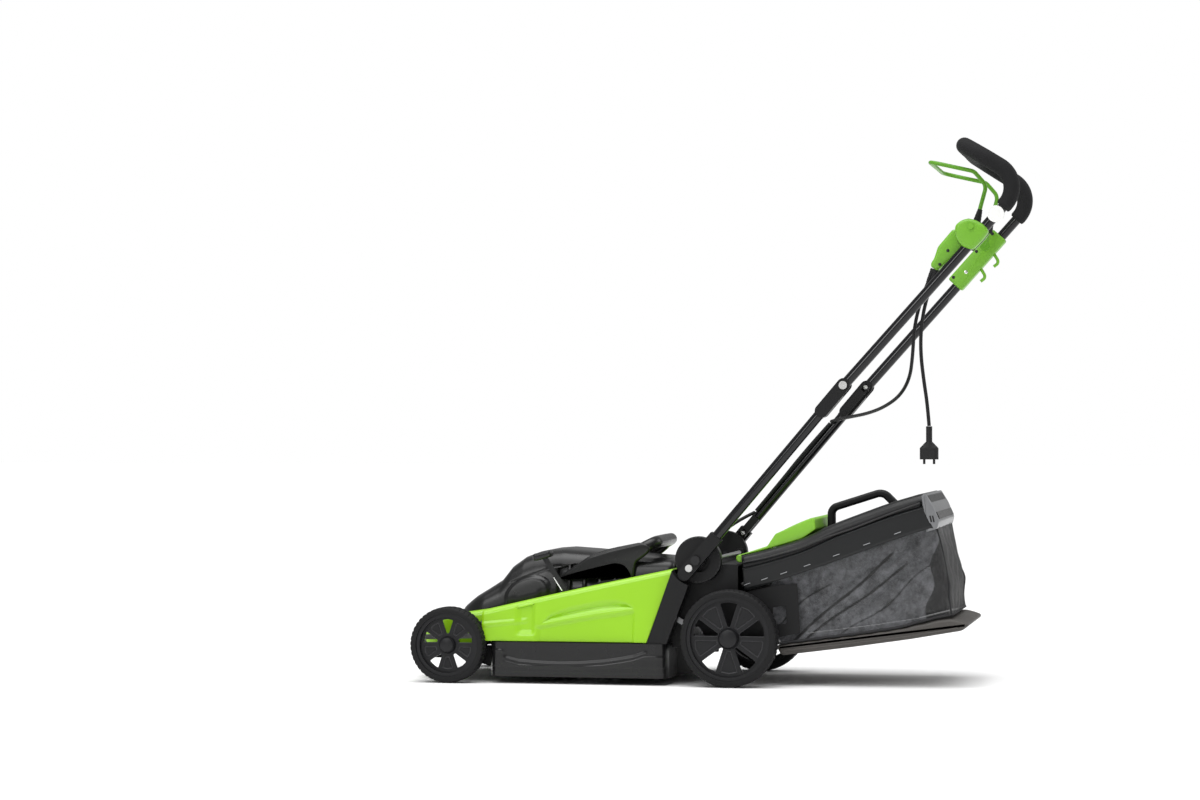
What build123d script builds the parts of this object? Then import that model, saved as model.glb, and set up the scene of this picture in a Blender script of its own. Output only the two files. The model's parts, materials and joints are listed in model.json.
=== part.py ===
from build123d import *
import os
from math import atan2, cos, degrees, hypot, pi, radians, sin, tan

# Corded rotary lawn mower with a folding handle and a rear grass catcher, in millimetres.
# +X points to the operator (rear), +Y to the mower's right, +Z up; the wheels stand on Z = 0.
# "left" is the mower's left side (-Y); most paired pieces are made on the left and mirrored.
os.makedirs("parts", exist_ok=True)

# ---------------------------------------------------------------- driving sizes
wheelbase = 562.0
nose_overhang = 88.0        # front axle to the tip of the nose
handle_overhang = 558.0     # rear axle to the back of the foam grip
rear_x = (wheelbase + nose_overhang - handle_overhang) / 2
front_x = rear_x - wheelbase
nose_x = front_x - nose_overhang

rear_wheel_r = 95.0
front_wheel_r = 75.0
tyre_width = 45.0
tyre_thick = 13.0
tyre_inner_y = 183.0
wheel_y = tyre_inner_y + tyre_width / 2

fit = 0.05                  # running clearance of a shaft in its bore, radial
gap = 0.5                   # gap between faces of moving neighbours
wall = 3.0                  # moulded covers
deck_wall = 4.0

# deck and cutting chamber
chamber_x = rear_x - 290.0
chamber_r = 189.0
skirt_z = 14.0
band_z = 82.0               # top of the outer band
roof_z = 117.0              # underside of the chamber roof
deck_half_w = 207.0
front_wheel_room = 7.0      # behind the front tyre
rear_wheel_room = 28.0      # ahead of the rear tyre
band_front_x = front_x + front_wheel_r + front_wheel_room
band_rear_x = rear_x - rear_wheel_r - rear_wheel_room
nose_half_w = 156.0

# discharge tunnel
tunnel_half_w = 150.0
tunnel_top = 232.0
tunnel_mouth_x = rear_x + 8.0
ramp_low_z = rear_wheel_r - 18.0    # clears the rear axle's rod under the tunnel
ramp_high_z = ramp_low_z + 23.0

# body shell
shell_half_w = 205.0
shell_draft = 5.0           # degrees
shell_front_top = 142.0
shell_rear_top = 225.0
shell_nose_z = 56.0
nose_top_z = 112.0
nose_round = 85.0
step_x = front_x + front_wheel_r + 4.0
panel_foot_x = rear_x - 165.0
panel_head_x = rear_x - 115.0

# motor cover and carry handle
cover_front_x = rear_x - 566.0
cover_rear_x = rear_x - 128.0
cover_half_w = 124.0
cover_top = 261.0
cover_draft = 9.0
cover_draft_z = 105.0       # height where the cover's plan outline is drawn
carry_half_w = 112.0
carry_bar = 22.0
carry_top = 294.0

# motor
motor_r = 65.0
motor_h = 112.0
shaft_r = 8.0
air_gap = 1.5
blade_r = 183.0
blade_w = 52.0
blade_t = 3.0
blade_z = 24.0

# height adjustment: both axles are cranks that turn together
axle_r = 6.0
rod_r = 5.0
crank_dx = 54.4
crank_dz = 25.4
crank_t = 8.0
crank_y = 172.0             # middle of the crank arms
link_arm = 40.0
link_rest = 115.0           # degrees above +X, at the lowest cut
link_y = 164.0
link_t = 5.0
link_w = 10.0
link_z = 130.0
pin_r = 4.0
lever_x = rear_x - 306.0
lever_z = 131.0
lever_y = 150.0
lever_t = 5.0
lever_len = 143.0
lever_tilt = 33.0           # degrees forward of upright at rest

# handle
drum_x = rear_x - 68.0
drum_z = 245.0
drum_r = 45.0
tube_r = 10.0
tube_wall = 1.5
tube_y = 187.0
lower_angle = 49.7
lower_len = 447.0
upper_angle = 48.1
upper_len = 522.0           # fold bolt to the corner above the side arm
reach_len = 143.0           # that corner to the cross bar
reach_angle = 147.9
elbow_r = 48.0
corner_r = 62.0
foam_r = 16.0
foot_half_t = 13.0
foot_half_w = 13.0
foot_head = 62.0
foot_tail = 48.0
socket_depth = 35.0
sleeve_half_t = 15.0
sleeve_half_w = 13.0
bolt_r = 4.0
lever_eye_r = 6.0
lever_half_n = 8.0
mid_lever_len = 78.0
low_lever_len = 42.0
bail_r = 4.0
bail_y = 145.0
bail_swing = 16.0

# catcher
catcher_x = rear_x + 14.0
lid_half_w = 165.0
lid_len = 362.0
bag_half_w = 158.0
bag_wall = 4.0
tray_half_w = 162.0
flap_half_w = 140.0
flap_rod_x = rear_x - 36.0
flap_rod_z = 247.0
flap_rod_r = 4.0
flap_knuckle_r = 8.0
flap_gap = 1.5

# cords
cord_r = 3.5


# ---------------------------------------------------------------- helpers
def write(name, part):
    """Label a finished piece and write it."""
    part.label = name
    export_step(part, f"parts/{name}.step")


def mirrored(part):
    """The same piece on the mower's right side."""
    with BuildPart() as other:
        mirror(part, about=Plane.XZ)
    return other.part


def both(name, part):
    """One node that holds a left piece and its mirror image."""
    with BuildPart() as pair:
        add(part)
        mirror(part, about=Plane.XZ)
    write(name, pair.part)


def pair(name, part):
    """Two nodes, left and right."""
    write(f"{name}_left", part)
    write(f"{name}_right", mirrored(part))


def along(origin, angle, s, n=0.0):
    """Point (x, z) at s along a slope from origin and n above it."""
    a = radians(angle)
    return (origin[0] + s * cos(a) - n * sin(a), origin[1] + s * sin(a) + n * cos(a))


def slope_plane(origin, angle, y=0.0):
    """Side-view plane: x runs up the slope, y stands off it, normal is -Y."""
    a = radians(angle)
    return Plane(origin=(origin[0], y, origin[1]), x_dir=(cos(a), 0, sin(a)), z_dir=(0, -1, 0))


def side(y_from, y_to):
    """Side-view plane at the middle of a slab between two Y values, and half its thickness."""
    return Plane.XZ.offset(-(y_from + y_to) / 2), abs(y_to - y_from) / 2


def slab(points, y_from, y_to, rounding=0.0):
    """Side-view polygon extruded between two Y values."""
    plane, half = side(y_from, y_to)
    with BuildPart() as body:
        with BuildSketch(plane) as face:
            with BuildLine():
                Polyline(*points, close=True)
            make_face()
            if rounding:
                fillet(face.vertices(), rounding)
        extrude(amount=half, both=True)
    return body.part


def rod(x, z, radius, y_from, y_to):
    """Round bar along Y."""
    plane, half = side(y_from, y_to)
    with BuildPart() as bar:
        with BuildSketch(plane):
            with Locations((x, z)):
                Circle(radius)
        extrude(amount=half, both=True)
    return bar.part


def slope_rod(origin, angle, s_from, s_to, radius, y):
    """Round bar up a slope."""
    start = along(origin, angle, s_from)
    a = radians(angle)
    with BuildPart() as bar:
        with BuildSketch(Plane(origin=(start[0], y, start[1]), z_dir=(cos(a), 0, sin(a)))):
            Circle(radius)
        extrude(amount=s_to - s_from)
    return bar.part


def cord(points, radius):
    """Round cord: straight runs joined by arcs as large as the runs allow."""
    corners = []
    for before, here, after in zip(points, points[1:], points[2:]):
        a = Vector(*here) - Vector(*before)
        b = Vector(*after) - Vector(*here)
        corners.append(0.45 * min(a.length, b.length) / tan(radians(a.get_angle(b) / 2)))
    with BuildPart() as body:
        with BuildLine() as route:
            FilletPolyline(*points, radius=corners)
        with BuildSketch(Plane(origin=route.line @ 0, z_dir=route.line % 0)):
            Circle(radius)
        sweep()
    length = sum(edge.length for edge in route.edges())
    print("cord radii", [round(c) for c in corners], "length", round(length),
          "volume ratio", round(body.part.volume / (pi * radius * radius * length), 4))
    return body.part


# ---------------------------------------------------------------- deck and tunnel
tunnel_roof_x = rear_x - 90.0
tunnel_root_x = chamber_x + motor_r + 12.0
tunnel_foot_x = rear_x - 95.0


def tunnel_side(grow):
    """Side outline of the discharge tunnel, grown outward by a wall."""
    return [
        (tunnel_root_x - grow, ramp_low_z - grow),
        (tunnel_foot_x, ramp_low_z - grow),
        (tunnel_mouth_x, ramp_high_z - grow),
        (tunnel_mouth_x, tunnel_top + grow),
        (tunnel_roof_x, tunnel_top + grow),
        (tunnel_root_x - grow, roof_z + grow),
    ]


pillar_gap = 1.0
pillar_rear_x = band_rear_x + 38.0
pillar_outline = [
    (panel_foot_x + pillar_gap, band_z),
    (panel_head_x + pillar_gap, shell_rear_top),
    (pillar_rear_x + 9, shell_rear_top),
    (pillar_rear_x, 187),
    (band_rear_x - 2, band_z),
]
pillar_inner_y = crank_y + crank_t / 2 + 1.5
drum_y_in = tunnel_half_w + deck_wall
drum_y_out = tube_y - foot_half_t - gap
pivot = (drum_x, drum_z)

# outer band: an open ring with a flat top, fitted round the chamber and the tunnel
with BuildPart() as deck_band:
    with BuildSketch(Plane.XY.offset(skirt_z)):
        with Locations(((band_front_x + band_rear_x) / 2, 0)):
            RectangleRounded(band_rear_x - band_front_x, 2 * deck_half_w, 22)
    extrude(amount=band_z - skirt_z)
    with BuildSketch(Plane.XY.offset(skirt_z)):
        with Locations(((band_front_x + band_rear_x) / 2, 0)):
            RectangleRounded(band_rear_x - band_front_x - 2 * deck_wall, 2 * (deck_half_w - deck_wall), 18)
    extrude(amount=band_z - skirt_z - deck_wall, mode=Mode.SUBTRACT)
    with BuildSketch(Plane.XY.offset(skirt_z)):
        with Locations((chamber_x, 0)):
            Circle(chamber_r + deck_wall)
    extrude(amount=roof_z - skirt_z, mode=Mode.SUBTRACT)
    add(slab(tunnel_side(deck_wall), -tunnel_half_w - deck_wall, tunnel_half_w + deck_wall), mode=Mode.SUBTRACT)
write("deck_band", deck_band.part)

with BuildPart() as deck_housing:
    # chamber
    with BuildSketch(Plane.XY.offset(skirt_z)):
        with Locations((chamber_x, 0)):
            Circle(chamber_r + deck_wall)
    extrude(amount=roof_z + deck_wall - skirt_z)
    # tunnel, and the lugs on it that hold the flap's rod
    add(slab(tunnel_side(deck_wall), -tunnel_half_w - deck_wall, tunnel_half_w + deck_wall))
    for y_sign in (-1, 1):
        add(slab([(flap_rod_x - 9, tunnel_top), (flap_rod_x + 9, tunnel_top),
                  (flap_rod_x + 6, flap_rod_z + 8), (flap_rod_x - 6, flap_rod_z + 8)],
                 y_sign * (flap_half_w + gap), y_sign * (tunnel_half_w + deck_wall)))
        add(rod(flap_rod_x, flap_rod_z, flap_rod_r, y_sign * flap_half_w, y_sign * (tunnel_half_w + 1)),
            mode=Mode.SUBTRACT)
    with BuildSketch(Plane.XY.offset(skirt_z)):
        with Locations((chamber_x, 0)):
            Circle(chamber_r)
    extrude(amount=roof_z - skirt_z, mode=Mode.SUBTRACT)
    add(slab([(x + (1 if x == tunnel_mouth_x else 0), z) for x, z in tunnel_side(0)],
             -tunnel_half_w, tunnel_half_w), mode=Mode.SUBTRACT)
    # way for the motor shaft
    with BuildSketch(Plane.XY.offset(roof_z)):
        with Locations((chamber_x, 0)):
            Circle(shaft_r + 6)
    extrude(amount=deck_wall, mode=Mode.SUBTRACT)
write("deck_housing", deck_housing.part)

# pan under the nose of the body shell, bolted to the front of the deck
nose_pan_x = nose_x + 12
with BuildPart() as nose_pan:
    with BuildSketch(Plane.XY.offset(band_z - 3 * deck_wall)):
        with Locations(((nose_pan_x + band_front_x) / 2, 0)):
            RectangleRounded(band_front_x - nose_pan_x, 2 * (nose_half_w - 9), nose_round - 10)
    extrude(amount=deck_wall)
    with BuildSketch(Plane.XY.offset(skirt_z)):
        with Locations((chamber_x, 0)):
            Circle(chamber_r + deck_wall)
    extrude(amount=roof_z - skirt_z, mode=Mode.SUBTRACT)
write("nose_pan", nose_pan.part)

# pillars that stand on the band beside the tunnel
with BuildPart() as side_pillar:
    add(slab(pillar_outline, -pillar_inner_y, -deck_half_w + 1))
    add(rod(*pivot, foot_tail + 2, -pillar_inner_y, -deck_half_w - 5), mode=Mode.SUBTRACT)
both("side_pillars", side_pillar.part)

# post on the chamber's roof that carries the height lever
post_t = 12.0
post_in_y = -lever_y + lever_t / 2 + gap
with BuildPart() as lever_post:
    add(slab([(lever_x - 14, roof_z + deck_wall), (lever_x + 14, roof_z + deck_wall),
              (lever_x + 8, lever_z + 8), (lever_x - 8, lever_z + 8)], post_in_y, post_in_y + post_t))
    add(rod(lever_x, lever_z, pin_r, -lever_y - lever_t / 2 - 2, post_in_y + post_t / 2))
write("lever_post", lever_post.part)


# ---------------------------------------------------------------- green body shell
def shell_form(inset):
    """Solid form of the body shell, drawn in by a wall thickness."""
    bottom = shell_nose_z - (20 if inset else 0)
    low = band_z + gap - (20 if inset else 0)
    rear = 30 if inset else 0
    top_slope = (shell_rear_top - shell_front_top) / (panel_head_x - band_front_x)
    profile = [
        (nose_x + inset, bottom),
        (nose_x + inset, 88 - inset),
        (nose_x + 20 + inset, nose_top_z - inset),
        (nose_x + 60, nose_top_z + 14 - inset),
        (band_front_x - 20, shell_front_top - inset - 2),
        (panel_head_x + rear, shell_rear_top - inset + top_slope * rear),
        (panel_foot_x + rear, low),
        (step_x - 14, low),
        (step_x - 20, bottom),
    ]
    with BuildPart() as form:
        with BuildSketch(Plane.XY.offset(shell_nose_z - 20)):
            with BuildLine():
                Polyline(
                    (nose_x + inset, -nose_half_w + inset),
                    (step_x + inset, -nose_half_w + inset),
                    (step_x + inset, -shell_half_w + inset),
                    (panel_head_x + 40, -shell_half_w + inset),
                    (panel_head_x + 40, shell_half_w - inset),
                    (step_x + inset, shell_half_w - inset),
                    (step_x + inset, nose_half_w - inset),
                    (nose_x + inset, nose_half_w - inset),
                    close=True,
                )
            make_face()
        extrude(amount=220, taper=shell_draft)
        add(slab(profile, -250, 250), mode=Mode.INTERSECT)
        tall = [e for e in form.edges() if e.bounding_box().size.Z > 20
                and e.center().X < nose_x + 22 and abs(e.center().Y) > nose_half_w - 30]
        fillet(tall, nose_round - inset)
    return form.part


def cover_form(inset):
    """Solid form of the motor cover, drawn in by a wall thickness."""
    drop = 20 if inset else 0
    seat = (shell_rear_top - shell_front_top) / (panel_head_x - band_front_x)
    base = shell_front_top - 9 - drop
    front, rear = cover_front_x + inset, cover_rear_x - inset
    profile = [
        (front, base - seat * 30),
        (front, 142 - inset),
        (rear_x - 534 + inset, 167 - inset),
        (rear_x - 482 + inset, 200 - inset),
        (rear_x - 462 + inset, 227 - inset),
        (rear_x - 410, 255 - inset),
        (rear_x - 358, cover_top - inset),
        (rear_x - 307, 257.5 - inset),
        (rear_x - 219, 250 - inset),
        (rear, 243 - inset),
        (rear, base + seat * (rear - front - 30)),
    ]
    with BuildPart() as form:
        with BuildSketch(Plane.XY.offset(cover_draft_z)):
            with Locations(((front + rear) / 2, 0)):
                RectangleRounded(rear - front + 12, 2 * (cover_half_w - inset), 55 - inset)
        extrude(amount=200, taper=cover_draft)
        add(slab(profile, -200, 200), mode=Mode.INTERSECT)
    return form.part


cover_solid = cover_form(0)
with BuildPart() as motor_cover:
    add(cover_solid)
    add(cover_form(wall), mode=Mode.SUBTRACT)
write("motor_cover", motor_cover.part)

slot_front_x = lever_x - (lever_z + lever_len - 150) * sin(radians(lever_tilt)) - 14
slot_rear_x = lever_x + 62
with BuildPart() as cover_hole:
    with BuildSketch(Plane.XY.offset(cover_draft_z)):
        with Locations(((cover_front_x + cover_rear_x) / 2, 0)):
            RectangleRounded(cover_rear_x - cover_front_x + 12 + 2 * gap, 2 * (cover_half_w + gap), 55 + gap)
    extrude(amount=220, taper=cover_draft)
with BuildPart() as body_shell:
    add(shell_form(0))
    add(shell_form(wall), mode=Mode.SUBTRACT)
    add(cover_hole.part, mode=Mode.SUBTRACT)
    # slot for the height lever, and the notch that the link passes
    add(slab([(slot_front_x, 150), (slot_rear_x, 150), (slot_rear_x, 260), (slot_front_x, 260)],
             -lever_y - lever_t - 2, -lever_y + lever_t + 2), mode=Mode.SUBTRACT)
    add(slab([(step_x - 8, band_z - 2), (step_x + 14, band_z - 2), (step_x + 14, link_z + 12),
              (step_x - 8, link_z + 12)], -link_y - 14, -link_y + 9), mode=Mode.SUBTRACT)
    # open rear, round the tunnel and the drums
    add(slab([(rear_x - 205, 60), (rear_x, 60), (rear_x, 300), (rear_x - 165, 300)],
             -tunnel_half_w - 2 * deck_wall, tunnel_half_w + 2 * deck_wall), mode=Mode.SUBTRACT)
write("body_shell", body_shell.part)

# ---------------------------------------------------------------- carry handle
carry_outline = [
    (rear_x - 300, 246),
    (rear_x - 225, 262),
    (rear_x - 159, carry_top),
    (rear_x - 146, carry_top - 4),
    (rear_x - 139, 281),
    (rear_x - 148, 270),
    (rear_x - 165, 262),
    (rear_x - 205, 236),
    (rear_x - 260, 236),
]
with BuildPart() as carry_handle:
    add(slab(carry_outline, -carry_half_w, carry_half_w))
    # finger gap between the bar and the cover
    add(slab([(rear_x - 236, 200), (rear_x - 139 - carry_bar - 8, 200),
              (rear_x - 139 - carry_bar - 8, 320), (rear_x - 236, 320)],
             -carry_half_w + carry_bar, carry_half_w - carry_bar), mode=Mode.SUBTRACT)
    add(cover_solid, mode=Mode.SUBTRACT)
    carry_solids = carry_handle.solids().sort_by(SortBy.VOLUME)
with BuildPart() as carry_main:
    add(carry_solids[-1])
write("carry_handle", carry_main.part)

# ---------------------------------------------------------------- motor and blade
motor_top = roof_z + deck_wall + motor_h
with BuildPart() as motor_case:
    with BuildSketch(Plane.XY.offset(roof_z + deck_wall)):
        with Locations((chamber_x, 0)):
            Circle(motor_r)
            Circle(shaft_r + fit, mode=Mode.SUBTRACT)
    extrude(amount=motor_h)
    with BuildSketch(Plane.XY.offset(roof_z + deck_wall + 6)):
        with Locations((chamber_x, 0)):
            Circle(motor_r - 5)
    extrude(amount=motor_h - 12, mode=Mode.SUBTRACT)
write("motor_case", motor_case.part)

core_z = roof_z + deck_wall + 20
core_h = motor_h - 40
core_r = 36.0
with BuildPart() as motor_stator:
    with BuildSketch(Plane.XY.offset(core_z)):
        with Locations((chamber_x, 0)):
            Circle(motor_r - 5)
            Circle(core_r + air_gap, mode=Mode.SUBTRACT)
    extrude(amount=core_h)
write("motor_stator", motor_stator.part)

with BuildPart() as motor_rotor:
    with BuildSketch(Plane.XY.offset(blade_z)):
        with Locations((chamber_x, 0)):
            Circle(shaft_r)
    extrude(amount=motor_top + 10 - blade_z)
    with BuildSketch(Plane.XY.offset(core_z)):
        with Locations((chamber_x, 0)):
            Circle(core_r)
    extrude(amount=core_h)
write("motor_rotor", motor_rotor.part)

with BuildPart() as cooling_fan:
    with BuildSketch(Plane.XY.offset(motor_top + 1)):
        with Locations((chamber_x, 0)):
            Circle(motor_r - 8)
    extrude(amount=2)
    with BuildSketch(Plane.XY.offset(motor_top + 3)):
        with Locations((chamber_x, 0)):
            Circle(shaft_r + 6)
            with PolarLocations(motor_r - 32, 9):
                Rectangle(36, 2)
    extrude(amount=7)
    with BuildSketch(Plane.XY.offset(motor_top)):
        with Locations((chamber_x, 0)):
            Circle(shaft_r)
    extrude(amount=12, mode=Mode.SUBTRACT)
write("cooling_fan", cooling_fan.part)

with BuildPart() as blade_holder:
    with BuildSketch(Plane.XY.offset(blade_z + blade_t)):
        with Locations((chamber_x, 0)):
            Circle(26)
    extrude(amount=10)
    with BuildSketch(Plane.XY.offset(blade_z + blade_t + 10)):
        with Locations((chamber_x, 0)):
            Circle(16)
    extrude(amount=34)
    with BuildSketch(Plane.XY.offset(blade_z)):
        with Locations((chamber_x, 0)):
            Circle(shaft_r)
    extrude(amount=60, mode=Mode.SUBTRACT)
write("blade_holder", blade_holder.part)

with BuildPart() as blade:
    with BuildSketch(Plane.XY.offset(blade_z)) as blade_face:
        with Locations((chamber_x, 0)):
            Rectangle(blade_w, 2 * blade_r)
            Circle(shaft_r, mode=Mode.SUBTRACT)
    extrude(amount=blade_t)
    # turned-up trailing lips at both ends
    for y_sign in (-1, 1):
        add(slab([(chamber_x + y_sign * blade_w / 2, blade_z + blade_t),
                  (chamber_x + y_sign * (blade_w / 2 - 5), blade_z + blade_t),
                  (chamber_x + y_sign * (blade_w / 2 - 1), blade_z + 16),
                  (chamber_x + y_sign * (blade_w / 2), blade_z + 16)],
                 y_sign * 110, y_sign * (blade_r - 4)))
write("blade", blade.part)

with BuildPart() as blade_bolt:
    with BuildSketch(Plane.XY.offset(blade_z - 8)):
        with Locations((chamber_x, 0)):
            RegularPolygon(11, 6)
    extrude(amount=6)
    with BuildSketch(Plane.XY.offset(blade_z - 2)):
        with Locations((chamber_x, 0)):
            Circle(16)
    extrude(amount=2)
write("blade_bolt", blade_bolt.part)

# ---------------------------------------------------------------- crank axles, link and lever
arm_dx = link_arm * cos(radians(link_rest))
arm_dz = link_arm * sin(radians(link_rest))
front_pivot = (front_x - crank_dx, front_wheel_r - crank_dz)
rear_pivot = (rear_x - crank_dx, rear_wheel_r - crank_dz)
stub_end_y = tyre_inner_y + tyre_width - 4


def bar(a, b, half_w, y_from, y_to):
    """Round-ended flat bar between two points of the side view."""
    plane, half = side(y_from, y_to)
    angle = degrees(atan2(b[1] - a[1], b[0] - a[0]))
    with BuildPart() as body:
        with BuildSketch(plane):
            with Locations(((a[0] + b[0]) / 2, (a[1] + b[1]) / 2)):
                SlotCenterToCenter(hypot(b[0] - a[0], b[1] - a[1]), 2 * half_w, rotation=angle)
        extrude(amount=half, both=True)
    return body.part


def crank(pivot_at, wheel_at):
    """Axle rod with a crank arm and a stub on each side, and one arm for the link."""
    tip = (pivot_at[0] + arm_dx, pivot_at[1] + arm_dz)
    with BuildPart() as body:
        add(rod(*pivot_at, rod_r, -crank_y, crank_y))
        for y_sign in (-1, 1):
            inner, outer = y_sign * (crank_y - crank_t / 2), y_sign * (crank_y + crank_t / 2)
            add(bar(pivot_at, wheel_at, 10, inner, outer))
            add(rod(*wheel_at, axle_r, inner, y_sign * stub_end_y))
        arm_in = -link_y + link_t / 2 + gap
        add(bar(pivot_at, tip, 8, arm_in, arm_in + link_t))
        add(rod(*tip, pin_r, -link_y - link_t / 2, arm_in + link_t))
    return body.part


write("front_axle", crank(front_pivot, (front_x, front_wheel_r)))
write("rear_axle", crank(rear_pivot, (rear_x, rear_wheel_r)))

front_tip = (front_pivot[0] + arm_dx, front_pivot[1] + arm_dz)
rear_tip = (rear_pivot[0] + arm_dx, rear_pivot[1] + arm_dz)
lever_tip = (lever_x + arm_dx, lever_z + arm_dz)
pin_play = 0.3              # the rear and lever pins of the link are loose holes
link_points = [
    front_tip,
    (step_x - 42, front_tip[1] + 4),
    (step_x - 8, link_z),
    (rear_tip[0] - 42, link_z),
    rear_tip,
]
with BuildPart() as link_bar:
    for a, b in zip(link_points, link_points[1:]):
        add(bar(a, b, link_w / 2, -link_y - link_t / 2, -link_y + link_t / 2))
    add(bar((lever_tip[0], link_z), lever_tip, link_w / 2 + 1.5, -link_y - link_t / 2, -link_y + link_t / 2))
    for end in (front_tip, rear_tip):
        add(rod(*end, pin_r + 4, -link_y - link_t / 2, -link_y + link_t / 2))
    add(rod(*front_tip, pin_r + fit, -link_y - 9, -link_y + 9), mode=Mode.SUBTRACT)
    for end in (rear_tip, lever_tip):
        add(rod(*end, pin_r + pin_play, -link_y - 9, -link_y + 9), mode=Mode.SUBTRACT)
write("link_bar", link_bar.part)

lever_top = (lever_x - lever_len * sin(radians(lever_tilt)), lever_z + lever_len * cos(radians(lever_tilt)))
with BuildPart() as height_lever:
    add(bar((lever_x, lever_z), lever_top, 5, -lever_y - lever_t / 2, -lever_y + lever_t / 2))
    add(bar((lever_x, lever_z), lever_tip, 8, -lever_y - lever_t / 2, -lever_y + lever_t / 2))
    add(rod(*lever_tip, pin_r, -link_y - link_t / 2, -lever_y))
    add(rod(lever_x, lever_z, pin_r + fit, -lever_y - 9, -lever_y + 9), mode=Mode.SUBTRACT)
write("height_lever", height_lever.part)

with BuildPart() as lever_knob:
    with BuildSketch(slope_plane(lever_top, 90 + lever_tilt, -lever_y)):
        Rectangle(26, 22)
    extrude(amount=20, both=True)
    fillet(lever_knob.edges().filter_by(Axis.Y), 6)
    add(bar((lever_x, lever_z), lever_top, 5, -lever_y - lever_t / 2, -lever_y + lever_t / 2), mode=Mode.SUBTRACT)
write("lever_knob", lever_knob.part)

clamp_y = 95.0
with BuildPart() as axle_clamps:
    for y_sign in (-1, 1):
        y_a, y_b = y_sign * (clamp_y - 8), y_sign * (clamp_y + 8)
        for at, top in ((front_pivot, band_z - 3 * deck_wall), (rear_pivot, ramp_low_z + 8)):
            add(slab([(at[0] - 14, at[1] - 9), (at[0] + 14, at[1] - 9), (at[0] + 14, top), (at[0] - 14, top)],
                     y_a, y_b))
            add(rod(*at, rod_r + fit, y_a * 0.9, y_b * 1.1), mode=Mode.SUBTRACT)
    add(deck_housing.part, mode=Mode.SUBTRACT)
    clamp_solids = axle_clamps.solids().sort_by(SortBy.VOLUME)[-4:]
with BuildPart() as axle_clamps_kept:
    for solid in clamp_solids:
        add(solid)
write("axle_clamps", axle_clamps_kept.part)


# ---------------------------------------------------------------- wheels
hub_r = 15.0
spoke_w = 7.0


def sector(centre, r_in, r_out, angle):
    """Face between two spokes of a ten-spoke wheel."""
    edge_in = 18 - degrees(spoke_w / 2 / r_in)
    edge_out = 18 - degrees(spoke_w / 2 / r_out)
    places = [(r_in, -edge_in), (r_out, -edge_out), (r_out * 1.02, 0), (r_out, edge_out), (r_in, edge_in)]
    Polygon(*[(centre[0] + r * cos(radians(angle + a)), centre[1] + r * sin(radians(angle + a)))
              for r, a in places], align=None)


def wheel(x, radius):
    """Spoked wheel on the left: hub, web with five windows and five pockets, and rim."""
    rim_out = radius - tyre_thick
    rim_in = rim_out - 7
    web_out = wheel_y + 8
    with BuildPart() as body:
        add(rod(x, radius, rim_out, -wheel_y + 19, -wheel_y - 19))
        add(rod(x, radius, rim_in, -wheel_y + 20, -wheel_y - 20), mode=Mode.SUBTRACT)
        add(rod(x, radius, rim_in + 1, -web_out + 3, -web_out - 3))
        add(rod(x, radius, hub_r, -crank_y - crank_t / 2 - gap, -stub_end_y + 1))
        # five open windows and five closed pockets take turns between ten spokes
        with BuildSketch(Plane.XZ.offset(web_out)):
            for turn in range(5):
                sector((x, radius), hub_r + 6, rim_in - 5, 90 + 72 * turn)
        extrude(amount=8, both=True, mode=Mode.SUBTRACT)
        with BuildSketch(Plane.XZ.offset(web_out + 3)):
            for turn in range(5):
                sector((x, radius), hub_r + 8, rim_in - 7, 126 + 72 * turn)
        extrude(amount=-3, mode=Mode.SUBTRACT)
        add(rod(x, radius, axle_r + fit, -tyre_inner_y + 30, -tyre_inner_y - tyre_width), mode=Mode.SUBTRACT)
    return body.part


def tyre(x, radius):
    """Tyre ring on the left, with rounded shoulders."""
    with BuildPart() as body:
        with BuildSketch(Plane.XY.offset(radius)):
            with Locations((x + radius - tyre_thick / 2, -wheel_y)):
                Rectangle(tyre_thick, tyre_width)
        revolve(axis=Axis((x, 0, radius), (0, 1, 0)))
        outer = [e for e in body.edges().filter_by(GeomType.CIRCLE) if e.radius > radius - 1]
        fillet(outer, 6)
    return body.part


for where, x, radius in (("front", front_x, front_wheel_r), ("rear", rear_x, rear_wheel_r)):
    pair(f"{where}_wheel", wheel(x, radius))
    pair(f"{where}_tyre", tyre(x, radius))

# ---------------------------------------------------------------- handle: drums and feet
stud_s = -20.0              # the clamp stud, on the foot's tail
fold_swing = 130.0
groove_depth = 14.0
groove = CenterArc(pivot, -stud_s, 180 + lower_angle - 2, fold_swing + 4)
with BuildPart() as drum:
    add(rod(*pivot, drum_r - 2.5, -drum_y_in, -drum_y_out))
    with BuildSketch(Plane.XZ.offset((drum_y_in + drum_y_out) / 2)):
        with Locations(pivot):
            with PolarLocations(drum_r - 3, 36):
                Rectangle(6, 3.6)
    extrude(amount=(drum_y_out - drum_y_in) / 2, both=True)
    # groove that the stud runs in while the handle folds
    with BuildSketch(Plane.XZ.offset(drum_y_out)):
        SlotArc(groove, 2 * bolt_r + 1.2)
    extrude(amount=-groove_depth, mode=Mode.SUBTRACT)
    add(rod(*pivot, bolt_r, -drum_y_in, -drum_y_out), mode=Mode.SUBTRACT)
both("handle_drums", drum.part)

with BuildPart() as pivot_bolt:
    add(rod(*pivot, bolt_r, -drum_y_in, -tube_y - foot_half_t - 1))
    add(rod(*pivot, 9, -tube_y - foot_half_t - gap, -tube_y - foot_half_t - 6))
both("pivot_bolts", pivot_bolt.part)

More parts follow.
